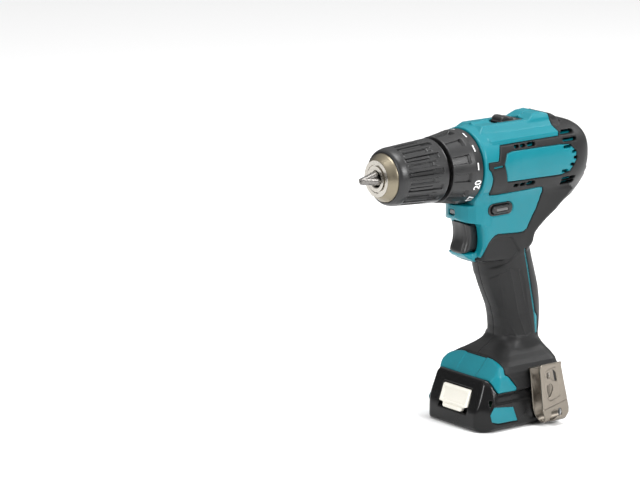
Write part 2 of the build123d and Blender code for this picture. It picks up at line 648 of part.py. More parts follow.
with BuildPart() as trigger:
    extrude(side((17.5, 119.8), (36.9, 119.8), (38.3, 121.4), (36.6, 126.6), (36.3, 130.5), (37.0, 135), (38.5, 139.4),
                 (37.7, 140.4), (17.5, 140.4)), amount=8.9, both=True)
    fillet(trigger.edges().filter_by(lambda e: e.center().X > 36 and abs(e.center().Y) > 8.8), 2.4)
    with BuildSketch(Plane(origin=(17.4, 0, 130), z_dir=(1, 0, 0))):
        Circle(5.8)
        Circle(4.5, mode=Mode.SUBTRACT)
    extrude(amount=7.8, mode=Mode.SUBTRACT)
    with Locations((11.6, 0, 130)):
        Box(12.2, 6.0, 6.0)
trigger.part.label = "trigger"
export_step(trigger.part, "parts/trigger.step")

with BuildPart() as trigger_spring:
    with BuildLine() as coil2:
        Helix(pitch=1.5, height=6.0, radius=5.1, center=(10.7, 0, 130), direction=(1, 0, 0))
    with BuildSketch(Plane(origin=coil2.line @ 0, z_dir=coil2.line % 0)):
        Circle(0.35)
    sweep(is_frenet=True)
trigger_spring.part.label = "trigger_spring"
export_step(trigger_spring.part, "parts/trigger_spring.step")

with BuildPart() as reverse_lever:
    with BuildSketch(Plane.XZ.offset(-20.6)):
        with Locations((16, 149)):
            SlotOverall(16.6, 5.6)
    extrude(amount=41.2)
reverse_lever.part.label = "reverse_lever"
export_step(reverse_lever.part, "parts/reverse_lever.step")

with BuildPart() as speed_lever:
    with Locations((-3.2, 0, 202.6)):
        Box(15, 11.6, 2.6)
    extrude(side((-7, 203.9), (-5.4, 207.2), (-3.2, 208.2), (-1.0, 207.2), (2.6, 205.4), (3.6, 203.9)), amount=4.6, both=True)
    with Locations((-2.5, 0, 200.7)):
        Box(2.6, 4, 1.3)
speed_lever.part.label = "speed_lever"
export_step(speed_lever.part, "parts/speed_lever.step")

with BuildPart() as shift_fork:
    with BuildSketch(across(-4.0)):
        Circle(21.9)
        Circle(20.85, mode=Mode.SUBTRACT)
        with Locations((0, 15 + 5)):
            Rectangle(60, 30, mode=Mode.INTERSECT)
    extrude(amount=3.0)
shift_fork.part.label = "shift_fork"
export_step(shift_fork.part, "parts/shift_fork.step")

with BuildPart() as led_lens:
    with Locations((40.6, 0, 148.5)):
        Box(4.0, 6.8, 3.8)
        chamfer(led_lens.edges().group_by(Axis.X)[-1], 0.5)
led_lens.part.label = "led_lens"
export_step(led_lens.part, "parts/led_lens.step")

with BuildPart() as terminal_block:
    with Locations((-19, 0, 34.6)):
        Box(13.6, 24, 8.6)
    for y in (-9, 0, 9):
        with Locations((-19, y, 28.6)):
            Box(9, 0.8, 3.8)
terminal_block.part.label = "terminal_block"
export_step(terminal_block.part, "parts/terminal_block.step")

# ---------------------------------------------------------------- battery
with BuildPart() as battery_case:
    extrude(side((-34, 2.2), (-32, 0), (38, 0), (PACK_FRONT, 3.2), (PACK_FRONT, 12), (33.0, HOOD_Z), (31.1, HOOD_Z),
                 (22.0, PACK_TOP), (PACK_REAR, PACK_TOP)), amount=PACK_HALF, both=True)
    with BuildSketch(Plane.XY):
        with Locations(((PACK_FRONT + PACK_REAR) / 2, 0)):
            RectangleRounded(PACK_FRONT - PACK_REAR, 2 * PACK_HALF, 8)
    extrude(amount=50, mode=Mode.INTERSECT)
    with BuildSketch(Plane.YZ.offset(-50)):
        with BuildLine():
            Polyline((-PACK_HALF, 2.4), (-30.4, 0), (30.4, 0), (PACK_HALF, 2.4), (PACK_HALF, 25.6), (24.5, 34.6),
                     (-24.5, 34.6), (-PACK_HALF, 25.6), close=True)
        make_face()
    extrude(amount=120, mode=Mode.INTERSECT)
    with Locations((0.65, 0, 11.75)):
        Box(65.3, 61.4, 19.5, mode=Mode.SUBTRACT)
    with Locations((-2.4, 0, 24)):
        Box(59.2, 61.4, 8, mode=Mode.SUBTRACT)
    extrude(side((50, 10.8), (50, 26.8), (32.0, 26.8), (35.0, 10.8)), amount=14.8, both=True, mode=Mode.SUBTRACT)
    with Locations((31, 0, 24)):
        Cylinder(1.9, 8, rotation=(0, 90, 0), mode=Mode.SUBTRACT)
    with Locations((-33, 12, 13)):
        Cylinder(3.2, 4, rotation=(0, 90, 0), mode=Mode.SUBTRACT)
    with Locations((-34, -5, 13)):
        Box(1.6, 16.4, 5.4, mode=Mode.SUBTRACT)
battery_case.part.label = "battery_case"
export_step(battery_case.part, "parts/battery_case.step")

with BuildPart() as battery_cover:
    with Locations((-2.4, 0, 24.55)):
        Box(59.0, 61.2, 2.1)
    with Locations((-3.2, 0, 26.6)):
        Box(50.4, 42.0, 2.4)
    with Locations((-3.2, 0, 28.75)):
        Box(50.4, 48.0, 2.1)
    for y in (-9, 0, 9):
        with Locations((-20, y, 28.5)):
            Box(22, 2.8, 5, mode=Mode.SUBTRACT)
battery_cover.part.label = "battery_cover"
export_step(battery_cover.part, "parts/battery_cover.step")

with BuildPart() as battery_contacts:
    for y in (-9, 0, 9):
        with Locations((-19, y - 0.95, 27.3), (-19, y + 0.95, 27.3)):
            Box(7, 0.5, 2.6)
battery_contacts.part.label = "battery_contacts"
export_step(battery_contacts.part, "parts/battery_contacts.step")

with BuildPart() as battery_cells:
    with Locations((0.6, -19.6, 11.4), (0.6, 0, 11.4), (0.6, 19.6, 11.4)):
        Cylinder(9.1, 65.0, rotation=(0, 90, 0))
battery_cells.part.label = "battery_cells"
export_step(battery_cells.part, "parts/battery_cells.step")

with BuildPart() as battery_latch:
    extrude(side((41.8, 11.2), (41.9, 12.4), (37.0, 26.0), (35.2, 26.4), (38.2, 11.2)), amount=14.3, both=True)
battery_latch.part.label = "battery_latch"
export_step(battery_latch.part, "parts/battery_latch.step")

with BuildPart() as latch_spring:
    with BuildLine() as coil3:
        Helix(pitch=0.96, height=4.8, radius=1.3, center=(28.2, 0, 24), direction=(1, 0, 0))
    with BuildSketch(Plane(origin=coil3.line @ 0, z_dir=coil3.line % 0)):
        Circle(0.25)
    sweep(is_frenet=True)
latch_spring.part.label = "latch_spring"
export_step(latch_spring.part, "parts/latch_spring.step")

with BuildPart() as check_button:
    with Locations((-33.7, 12, 13)):
        Cylinder(2.9, 2.2, rotation=(0, 90, 0))
check_button.part.label = "check_button"
export_step(check_button.part, "parts/check_button.step")

with BuildPart() as gauge_window:
    with Locations((-33.65, -5, 13)):
        Box(0.9, 16.0, 5.0)
gauge_window.part.label = "gauge_window"
export_step(gauge_window.part, "parts/gauge_window.step")

# ---------------------------------------------------------------- belt clip on the left of the foot
with BuildPart() as belt_clip:
    with BuildSketch(Plane.YZ.offset(-30)):
        with BuildLine():
            l1 = Line((33.25, 40), (33.25, 8))
            a1 = ThreePointArc(l1 @ 1, (39.05, 2.2), (44.85, 8))
            l2 = Line(a1 @ 1, (44.85, 44))
            l3 = Line(l2 @ 1, (43.45, 44))
            l4 = Line(l3 @ 1, (43.45, 8))
            a2 = ThreePointArc(l4 @ 1, (39.05, 3.6), (34.65, 8))
            l5 = Line(a2 @ 1, (34.65, 40))
            l6 = Line(l5 @ 1, l1 @ 0)
        make_face()
    extrude(amount=40)
    extrude(side((1.0, 45), (-2.8, 8), (-4.6, 1), (-24.0, 1), (-25.0, 8), (-17.5, 45)), amount=60, both=True, mode=Mode.INTERSECT)
    extrude(side((-5.2, 38.5), (-8.4, 31), (-7.0, 30), (-12.8, 29), (-14.4, 33), (-12.6, 36), (-12.8, 38.8), y=40), amount=-10,
            mode=Mode.SUBTRACT)
    extrude(side((-7.4, 27), (-7.6, 21), (-9.6, 18), (-11.6, 21), (-12.6, 25.5), (-10.6, 27.6), y=40), amount=-10, mode=Mode.SUBTRACT)
    with Locations((-13.6, 39.05, 2.5)):                           # notch that splits the bend into two fingers
        Box(4.6, 16, 7.0, mode=Mode.SUBTRACT)
    with Locations((CLIP_X, 33.9, CLIP_Z)):
        Cylinder(2.2, 6, rotation=(90, 0, 0), mode=Mode.SUBTRACT)
belt_clip.part.label = "belt_clip"
export_step(belt_clip.part, "parts/belt_clip.step")

with BuildPart() as clip_screw:
    with Locations((CLIP_X, 30.0, CLIP_Z)):
        Cylinder(1.95, 9.4, rotation=(90, 0, 0))
    with Locations((CLIP_X, 35.85, CLIP_Z)):
        Cylinder(3.6, 2.3, rotation=(90, 0, 0))
    with Locations((CLIP_X, 37.0, CLIP_Z)):
        Box(1.2, 2.0, 5.4, mode=Mode.SUBTRACT)
clip_screw.part.label = "clip_screw"
export_step(clip_screw.part, "parts/clip_screw.step")
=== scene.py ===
import bpy, math
import numpy as np
from mathutils import Vector, Matrix


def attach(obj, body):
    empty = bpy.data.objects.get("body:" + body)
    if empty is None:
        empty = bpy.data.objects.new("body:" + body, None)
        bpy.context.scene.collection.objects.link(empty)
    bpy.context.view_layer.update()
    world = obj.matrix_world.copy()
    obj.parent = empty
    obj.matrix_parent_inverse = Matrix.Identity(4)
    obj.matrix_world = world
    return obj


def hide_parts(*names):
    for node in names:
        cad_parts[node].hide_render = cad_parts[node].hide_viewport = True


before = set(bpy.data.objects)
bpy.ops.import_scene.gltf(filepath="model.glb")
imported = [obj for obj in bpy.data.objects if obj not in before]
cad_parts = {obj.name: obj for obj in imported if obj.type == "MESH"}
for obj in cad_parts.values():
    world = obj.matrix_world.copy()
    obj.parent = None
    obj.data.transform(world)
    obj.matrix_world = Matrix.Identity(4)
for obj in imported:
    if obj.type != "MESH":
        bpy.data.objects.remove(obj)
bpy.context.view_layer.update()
ZA = 178.0
f32 = np.float32

# ------------------------------------------------------------------ camera
cam_data = bpy.data.cameras.new("camera")
cam = bpy.data.objects.new("camera", cam_data)
bpy.context.scene.collection.objects.link(cam)
cam_data.sensor_fit = "HORIZONTAL"
cam_data.sensor_width = 36.0
cam_data.lens = 209.1
cam_data.clip_start, cam_data.clip_end = 0.05, 30.0
cam.location = (1.5909, 1.8535, 0.6801)
cam.rotation_euler = Vector((-0.59731, -0.77021, -0.22360)).to_track_quat("-Z", "Y").to_euler()
bpy.context.scene.camera = cam

# ------------------------------------------------------------------ mesh tools (mm in, metres out)
def new_mesh(name, V, faces_quads=None, faces=None, smooth=True, sharp=None):
    me = bpy.data.meshes.new(name)
    V = np.asarray(V, dtype=np.float64) / 1000.0
    if faces_quads is not None:
        Q = np.asarray(faces_quads, dtype=np.int32)
        me.vertices.add(len(V)); me.vertices.foreach_set("co", V.astype(f32).ravel())
        me.loops.add(Q.size); me.loops.foreach_set("vertex_index", Q.ravel())
        me.polygons.add(len(Q))
        me.polygons.foreach_set("loop_start", np.arange(0, Q.size, Q.shape[1], dtype=np.int32))
        me.update(calc_edges=True); me.validate()
    else:
        me.from_pydata([tuple(v) for v in V], [], faces)
        me.validate()
    me.polygons.foreach_set("use_smooth", np.full(len(me.polygons), smooth))
    if sharp is not None:
        me.set_sharp_from_angle(angle=math.radians(sharp))
    o = bpy.data.objects.new(name, me)
    bpy.context.scene.collection.objects.link(o)
    return o


def nets(fn, lo, hi, h, name, project=True):
    "closed surface of fn(X, Y, Z) < 0 by surface nets"
    lo = np.array(lo, float); hi = np.array(hi, float)
    n = np.ceil((hi - lo) / h).astype(int) + 1
    ax = [(lo[i] + h * np.arange(n[i])).astype(f32) for i in range(3)]
    F = fn(ax[0][:, None, None], ax[1][None, :, None], ax[2][None, None, :])
    F = np.array(np.broadcast_to(F, tuple(n)), dtype=f32)
    for sl in (np.s_[0], np.s_[-1]):
        F[sl] = np.maximum(F[sl], 0.01); F[:, sl] = np.maximum(F[:, sl], 0.01); F[:, :, sl] = np.maximum(F[:, :, sl], 0.01)
    S = F < 0
    cnt = np.zeros(tuple(n - 1), np.int8)
    for a in (0, 1):
        for b in (0, 1):
            for c in (0, 1):
                cnt += S[a:n[0] - 1 + a, b:n[1] - 1 + b, c:n[2] - 1 + c]
    act = (cnt > 0) & (cnt < 8)
    idx = -np.ones(act.shape, np.int32)
    ii, jj, kk = np.nonzero(act)
    idx[ii, jj, kk] = np.arange(len(ii))
    acc = np.zeros((len(ii), 3)); ce = np.zeros(len(ii))
    corners = [(a, b, c) for a in (0, 1) for b in (0, 1) for c in (0, 1)]
    for a in corners:
        for d in range(3):
            if a[d] == 0:
                b = list(a); b[d] = 1
                fa = F[ii + a[0], jj + a[1], kk + a[2]]; fb = F[ii + b[0], jj + b[1], kk + b[2]]
                m = (fa < 0) != (fb < 0)
                t = np.zeros_like(fa); t[m] = fa[m] / (fa[m] - fb[m])
                p = np.tile(np.array(a, float), (len(ii), 1)); p[:, d] = t
                acc[m] += p[m]; ce[m] += 1
    V = lo + h * (np.stack([ii, jj, kk], 1) + acc / ce[:, None])
    quads = []
    def add(m, c0, c1, c2, c3, s):
        q = np.stack([c0[m], c1[m], c2[m], c3[m]], 1)
        inside = s[m]
        q[~inside] = q[~inside][:, ::-1]
        quads.append(q)
    s0, s1 = S[:-1, 1:-1, 1:-1], S[1:, 1:-1, 1:-1]
    add(s0 != s1, idx[:, :-1, :-1], idx[:, 1:, :-1], idx[:, 1:, 1:], idx[:, :-1, 1:], s0)
    s0, s1 = S[1:-1, :-1, 1:-1], S[1:-1, 1:, 1:-1]
    add(s0 != s1, idx[:-1, :, :-1], idx[:-1, :, 1:], idx[1:, :, 1:], idx[1:, :, :-1], s0)
    s0, s1 = S[1:-1, 1:-1, :-1], S[1:-1, 1:-1, 1:]
    add(s0 != s1, idx[:-1, :-1, :], idx[1:, :-1, :], idx[1:, 1:, :], idx[:-1, 1:, :], s0)
    Q = np.concatenate(quads)
    return new_mesh(name, V, Q)


def mirrored(o, name):
    "the same mesh reflected to the other side of the mid-plane"
    me = o.data.copy(); me.name = name
    co = np.empty(len(me.vertices) * 3, f32); me.vertices.foreach_get("co", co)
    co = co.reshape(-1, 3); co[:, 1] *= -1; me.vertices.foreach_set("co", co.ravel())
    me.flip_normals(); me.update()
    p = bpy.data.objects.new(name, me)
    bpy.context.scene.collection.objects.link(p)
    return p


# ------------------------------------------------------------------ distance tools
def smin(a, b, k):
    h = np.clip(0.5 + 0.5 * (b - a) / k, 0, 1)
    return b * (1 - h) + a * h - k * h * (1 - h)


def smax(a, b, k):
    return -smin(-a, -b, k)


def curve(pts, n=6):
    "closed smooth outline through the points"
    P = np.array(pts, float); out = []
    N = len(P)
    for i in range(N):
        p0, p1, p2, p3 = P[i - 1], P[i], P[(i + 1) % N], P[(i + 2) % N]
        for t in np.linspace(0, 1, n, endpoint=False):
            out.append(0.5 * (2 * p1 + (p2 - p0) * t + (2 * p0 - 5 * p1 + 4 * p2 - p3) * t * t + (3 * p1 - p0 - 3 * p2 + p3) * t ** 3))
    return out


def poly2(pts, U, Vv):
    "signed distance to a closed outline, negative inside"
    P = np.array(pts, float)
    d = np.full(np.broadcast(U, Vv).shape, 1e9, f32); inside = np.zeros(d.shape, bool)
    U, Vv = np.broadcast_arrays(U, Vv)
    for i in range(len(P)):
        a, b = P[i - 1], P[i]
        e = b - a
        L = e @ e
        if L < 1e-12:
            continue
        t = np.clip(((U - a[0]) * e[0] + (Vv - a[1]) * e[1]) / L, 0, 1)
        d = np.minimum(d, (U - a[0] - t * e[0]) ** 2 + (Vv - a[1] - t * e[1]) ** 2)
        c = (a[1] > Vv) != (b[1] > Vv)
        inside ^= c & (U < (b[0] - a[0]) * (Vv - a[1]) / (b[1] - a[1] if b[1] != a[1] else 1e-9) + a[0])
    d = np.sqrt(d).astype(f32)
    return np.where(inside, -d, d)


def side2(pts, X, Z):
    return poly2(pts, X[:, :, 0], Z[0])[:, None, :]


def extr(s, W, R, y):
    a = s + R; b = y - (W - R)
    return np.minimum(np.maximum(a, b), 0) + np.sqrt(np.maximum(a, 0) ** 2 + np.maximum(b, 0) ** 2) - R


def box3(X, Y, Z, c, hs, r=0.5):
    qx, qy, qz = np.abs(X - c[0]) - hs[0] + r, np.abs(Y - c[1]) - hs[1] + r, np.abs(Z - c[2]) - hs[2] + r
    return np.minimum(np.maximum(np.maximum(qx, qy), qz), 0) + np.sqrt(np.maximum(qx, 0) ** 2 + np.maximum(qy, 0) ** 2 + np.maximum(qz, 0) ** 2) - r


def plane(X, Y, Z, p, nrm):
    nrm = np.array(nrm, float); nrm /= np.linalg.norm(nrm)
    return (X - p[0]) * nrm[0] + (Y - p[1]) * nrm[1] + (Z - p[2]) * nrm[2]


def tab(x, xs, ys):
    return np.interp(x, xs, ys).astype(f32)


# ------------------------------------------------------------------ outer form of the tool
BW = 25.8
REAR = np.array([(46, -34), (50, -33.8), (54, -33.7), (61, -34.7), (68, -35.1), (73.5, -35.1), (80.6, -34.6), (89.2, -33.3),
                 (96.5, -31.4), (106, -28.7), (112.6, -26.9), (118.4, -25.5), (123.9, -25.9), (129.2, -27.7), (133, -30.4),
                 (136.4, -35.8), (139.5, -43.1), (143.1, -52.1), (148.7, -62.1), (154.7, -68.5), (160, -73), (168, -76)])
FRONT = np.array([(46, 17), (52.7, 13.4), (57.3, 11.6), (63.5, 11.1), (70.5, 11.6), (77.1, 13.3), (85.3, 16.9), (93.5, 20.4),
                  (100.8, 23), (108, 24.8), (111.5, 25.8), (116, 28), (121, 30), (168, 32)])
HALF = np.array([(46, 18.2), (54, 17.0), (60, 16.4), (73, 16.0), (85, 16.2), (97, 16.5), (108, 17.0), (118, 17.4), (133, 17.8),
                 (141, 18.2), (148, 18.9), (156, 20), (168, 22)])
NG = 2.35
MG = NG / (NG - 1)


def grip(X, y, Z):
    b = tab(Z, HALF[:, 0], HALF[:, 1])
    c = tab(Z, [46, 54, 73, 97, 108, 118, 168], [-10, -10, -11.4, -4.9, -1.6, 0, 0])
    kb = (0.857 * b) ** MG
    ar = (np.maximum(c - tab(Z, REAR[:, 0], REAR[:, 1]), 5) ** MG - kb) ** (1 / MG)
    af = (np.maximum(tab(Z, FRONT[:, 0], FRONT[:, 1]) - c, 5) ** MG - kb) ** (1 / MG)
    u = (X - c)
    a = np.where(u > 0, af, ar)
    q = ((np.abs(u) / a) ** NG + (y / b) ** NG) ** (1 / NG)
    d = (q - 1) * np.minimum(a, b) * 0.94
    return np.maximum(d, np.maximum(45 - Z, Z - 166))


SHIELD = [(27.6, 112.6), (30.2, 116.2), (30.4, 119.0), (28.9, 122.5), (28.3, 127.0), (28.7, 133.0), (30.3, 138.6), (34.0, 140.2),
          (38.6, 141.0), (41.8, 143.0), (43.4, 146.0), (43.6, 149.5), (43.6, 158), (-44, 158), (-38, 145), (-26, 136), (-17, 128),
          (-14, 120), (0, 112)]
FOOT_Z = [25.7, 34.5, 38.0, 42.0, 44.5, 47.0, 49.5, 52, 55, 60]
FOOT_B = [31.4, 31.2, 30.2, 27.8, 24.6, 20.6, 17.6, 15.8, 14, 12.5]
FOOT_F = [30.4, 30.1, 27.3, 23.9, 21.2, 18.0, 14.2, 9.5, 4, -3]
FOOT_R = [-30.6, -30.6, -30.6, -30.5, -30.3, -29.8, -29.0, -28.2, -26.5, -22]


def rrect(X, y, cx, a, b, r):
    qx = np.abs(X - cx) - (a - r); qy = y - (b - r)
    return np.minimum(np.maximum(qx, qy), 0) + np.sqrt(np.maximum(qx, 0) ** 2 + np.maximum(qy, 0) ** 2) - r


def foot(X, y, Z):
    b, xf, xr = tab(Z, FOOT_Z, FOOT_B), tab(Z, FOOT_Z, FOOT_F), tab(Z, FOOT_Z, FOOT_R)
    d = rrect(X, y, (xf + xr) / 2, (xf - xr) / 2, b, tab(Z, [25, 40, 52], [8, 9, 11])) * tab(Z, [25, 35, 38, 42, 52], [1, 0.97, 0.78, 0.68, 0.6])
    return np.maximum(smax(d, 26.0 - Z, 0.8), Z - 60)


def form(X, Y, Z):
    y = np.abs(Y); zz = Z - ZA
    az = np.abs(zz) / np.where(zz > 0, 23.6, 23.0)
    t = np.maximum((-38 - X) / 28.6, 0)
    q = ((y / BW) ** 2.5 + az ** 2.5 + t ** 2.5) ** 0.4
    barrel = smax((q - 1) * 24, X - 34.6, 1.0)
    r = np.sqrt(y * y + zz * zz)
    collar = smax(r - tab(X, [4, 12, 27, 35.6], [25.2, 26.2, 26.5, 25.8]), np.maximum(X - 35.5, 4 - X), 0.5)
    nose = plane(X, y, Z, (27.2, 0, 205.0), (0.60, 0.10, 0.79))
    rail = smax(plane(X, y, Z, (0, 11.4, 204.0), (0, 0.80, 0.60)), Z - tab(X, [-40, -34, 13, 27], [203.0, 204.4, 204.9, 205.0]), 0.7)
    rail = smax(rail, y - 18.8, 0.8)
    rail = smax(smax(rail, nose, 0.7), np.maximum(X - 34.9, -38.5 - X), 0.8)
    ledge = smax(smax(y - 21.6, plane(X, y, Z, (0, 19.4, 197.4), (0, 0.42, 0.907)), 0.7), np.maximum(X - 27.5, -34 - X), 0.8)
    ramp = side2([(-11.6, 203.2), (-19.4, 207.9), (-25.8, 208.6), (-34.5, 206.2), (-41.4, 201.9), (-46, 198), (-46, 190), (-9, 190)], X, Z)
    hump = extr(ramp, 12.0, 1.2, y)
    hump = smax(hump, plane(X, y, Z, (0, 9.4, 207.9), (0, 0.80, 0.60)), 0.8)
    F = smin(barrel, collar, 1.5)
    F = smin(F, np.maximum(ledge, 185 - Z), 0.4)
    F = smin(F, np.maximum(rail, 185 - Z), 0.4)
    F = smin(F, hump, 0.6)
    g = grip(X, y, Z)
    sh = extr(side2(curve(SHIELD, 3), X, Z), tab(Z, [112, 130, 142, 158], [17.0, 17.8, 18.6, 19.6]), 3.2, y)
    bk = poly2([(-60, -1), (-60, 24), (20, 24), (24.5, 18.3), (30, 17.4), (34.5, 15.4), (38.4, 11.6), (41.4, 7.0), (43.0, 3.4), (43.5, 0), (43.5, -1)], X[:, :, 0], y[:, :, 0] if y.shape[0] == X.shape[0] else np.broadcast_to(y, (X.shape[0], y.shape[1], 1))[:, :, 0])[:, :, None]
    sh = smax(sh, np.where(Z > 138.8, bk, -50.0), 1.2)
    g = smin(g, sh, 1.2)
    lip = extr(side2(curve([(24, 112.4), (30.8, 114.1), (35.2, 115.7), (37.7, 117.9), (37.4, 119.5), (30, 119.6), (22, 119.4)], 4), X, Z), 9.8, 2.4, y)
    g = smin(g, lip, 3.0)
    g = smin(g, foot(X, y, Z), 2.5)
    F = smin(F, g, 4.5)
    F = smax(F, np.where(Z > 152.6, X - 35.6, -50), 0.4)                                # clear of the torque ring
    return F


BLACK = [(-31.8, 232), (-31.8, 203), (-31.9, 193.2), (20.0, 192.9), (21.4, 190.6), (24.2, 183.0), (32.6, 183.2), (32.6, 179.2), (30.2, 176.4),
         (28.4, 171.7), (28.2, 162.0), (26.8, 159.8), (19.7, 159.3), (-15.6, 160.4), (-18.6, 159.8), (-19.8, 157.2), (-15.6, 146.0),
         (-10.2, 136.6), (-8.2, 132.2), (-4.9, 130.4), (0, 130.3), (17, 131.6), (20.0, 130.8), (22.4, 129.2), (25.0, 126.3), (27.2, 122), (29.2, 118.4), (30.6, 114.9), (29, 111),
         (60, 106), (60, 54), (19.1, 54), (19.1, 44.2), (20.2, 37.8), (17.9, 36.6), (10.9, 28.2), (10.9, 20), (-95, 20), (-95, 232)]
BADGE = [(19.2, 180.6), (16.4, 187.4), (11.2, 188.5), (-30.9, 188.0), (-39.4, 187.2), (-45.0, 181.5), (-45.0, 176.0), (-39.9, 168.8), (-32.2, 166.9), (12.0, 168.0), (15.4, 168.3)]
STRIPE = [(-7.4, 119), (-6.6, 118.4), (-9.9, 106.1), (-12.9, 92.5), (-15.7, 78.9), (-17.3, 71.8), (-19.2, 57.4), (-21.8, 57.4),
          (-21.2, 69.4), (-18.4, 72.8), (-16.9, 80), (-10.8, 107.7)]
PANEL = [(18.4, 96.8), (12.3, 102), (5.3, 106.3), (-4.3, 104.0), (-7.5, 96), (-12.3, 70.6), (-15.6, 59.5), (-11.5, 57.6), (-2.6, 57.8), (3.0, 58.2), (5.2, 60.5), (11.5, 74), (16.6, 88)]
FINGER = [(21.0, 129.6), (17.5, 129.9), (6.5, 128.4), (4.6, 127.6), (-1.9, 117.9), (-1.4, 116.9), (6.6, 110.4), (12.8, 107.6), (26, 102), (40, 98), (40, 122), (25.0, 126.0)]
TAB_SLIT = [(20.4, 180.2), (28.6, 179.9), (28.6, 178.7), (20.4, 179.0)]


def masks(X, Z):
    m = side2(BLACK, X, Z)
    m = np.maximum(m, -side2(BADGE, X, Z))
    m = np.maximum(m, -side2(STRIPE, X, Z))
    m = np.maximum(m, -side2(TAB_SLIT, X, Z))
    return m


VENTS = []
for z in (190.8, 164.7):
    VENTS += [(6.8, z, 1.8, 0.75), (1.2, z, 2.0, 0.75), (-6.0, z, 3.4, 1.0)]
for x0, z0 in ((-39.4, 194.8), (-40.0, 190.1), (-40.4, 163.6), (-40.9, 160.6)):
    VENTS.append((x0, z0, 6.0, 0.95))
for x0, z0, hl in ((-37.0, 185.6, 3.4), (-42.6, 181.9, 1.7), (-43.8, 177.6, 1.5), (-41.2, 173.3, 1.7), (-35.4, 169.4, 2.8)):
    VENTS.append((x0, z0, hl, 0.95))
for z0 in (187.6, 163.6):
    VENTS.append((-64.5, z0, 2.6, 1.1))


def vents2(X, Z, grow=0.0):
    d = None
    for x0, z0, hl, hw in VENTS:
        u = np.abs(X - x0) - (hl - hw); v = Z - z0
        e = np.sqrt(np.maximum(u, 0) ** 2 + v * v) - (hw + grow)
        d = e if d is None else np.minimum(d, e)
    return d


def relief(X, y, Z):
    "surface detail pressed into the grip cover, in mm"
    p = side2(PANEL, X, Z)
    zc = np.array([50, 58, 71, 77, 96, 106, 110], float)
    d = 0.55 * np.clip((0.35 - p) / 0.7, 0, 1)
    for xs in ((2.6, 4.4, 11.5, 13.4, 18.4, 21, 22), (-4.8, -2.6, 2.9, 4.9, 10.0, 12.6, 13.4), (-11.2, -9.4, -4.4, -2.9, 2.0, 5.3, 6.4),
               (-17.2, -15.4, -11.4, -10.0, -4.3, -1.6, -0.6)):
        u = X - np.interp(Z, zc, xs)
        d = d - 0.34 * np.exp(-(u / 0.42) ** 2) * (p < 0) + 0.22 * np.clip(1 - np.abs(u - 3.2) / 3.2, 0, 1) * (p < 0)
    f = side2(FINGER, X, Z)
    d = d + 1.05 * np.clip((0.35 - f) / 0.9, 0, 1)
    # rib lines along the frame members
    return d * np.clip((y - 7) / 2.5, 0, 1)


SCREWS = ((-22, 146), (16.5, 112.0), (-22, 66), (-43, 152.5))


def cuts(X, y, Z, right=False):
    "openings shared by both halves"
    d = box3(X, y, Z, (42, 0, 130.05), (26, 9.35, 10.75), 0.6)                        # trigger
    d = np.minimum(d, box3(X, y, Z, (-1, 0, 206.6), (13, 6.5, 4.6), 0.5))             # speed lever slot
    d = np.minimum(d, extr_slot(X, Z, 16, 149, 8.7, 3.2))                              # direction lever
    d = np.minimum(d, np.maximum(side2([(-60, 20), (-60, 25.8), (26.5, 25.8), (30.3, 34.9), (60, 34.9), (60, 20)], X, Z), y - 60))
    d = np.minimum(d, np.maximum(side2([(-29, 20), (-29, 27.4), (60, 27.4), (60, 20)], X, Z), y - 21.4))
    d = np.minimum(d, np.maximum(side2([(-29, 27.3), (-29, 30.2), (60, 30.2), (60, 27.3)], X, Z), y - 24.4))
    d = np.minimum(d, box3(X, y, Z, (43.5, 0, 147.4), (5, 2.9, 2.0), 0.9))            # work light
    r = np.sqrt(y * y + (Z - ZA) ** 2)
    d = np.minimum(d, np.maximum(r - 20.9, 31.0 - X))                                 # nose bore
    if right:
        for x0, z0 in SCREWS:
            d = np.minimum(d, np.maximum(np.sqrt((X - x0) ** 2 + (Z - z0) ** 2) - 3.2, 11.0 - y))
    return d


def extr_slot(X, Z, x0, z0, hl, hw):
    u = np.abs(X - x0) - (hl - hw)
    return np.sqrt(np.maximum(u, 0) ** 2 + (Z - z0) ** 2) - hw


CAPM = [(19.2, 64), (60, 64), (60, 18), (11.0, 18), (11.0, 28.1), (18.0, 36.4), (20.4, 37.6), (19.2, 44.2)]


def cap_form(X, Y, Z):
    y = np.abs(Y)
    d = plane(X, y, Z, (30.3, 0, 34), (1, 0, 0.06))
    for p, n in (((29.9, 25, 34.6), (0.80, 0, 0.62)), ((27.6, 11, 36.8), (0.76, 0.0, 0.66)), ((21, 0, 46.4), (0.36, 0, 0.93)),
                 ((20, 16, 45.8), (0.22, 0.26, 0.94)), ((20, 25.4, 43.3), (0.20, 0.50, 0.84)), ((27.5, 28.2, 36), (0.68, 0.72, 0.16)),
                 ((20, 29.4, 39.5), (0.10, 0.86, 0.50)), ((15, 31.5, 30), (0.02, 1, 0.04)), ((25.0, 25.5, 41.0), (0.62, 0.46, 0.63))):
        d = smax(d, plane(X, y, Z, p, n), 0.7)
    # shallow thumb recess between two creases on the front
    d = smax(d, -smax(y - 10.5, -(plane(X, y, Z, (25.6, 0, 38.2), (0.76, 0, 0.66)) - 0.2), 0.5), 0.6)
    return d


H = 0.5


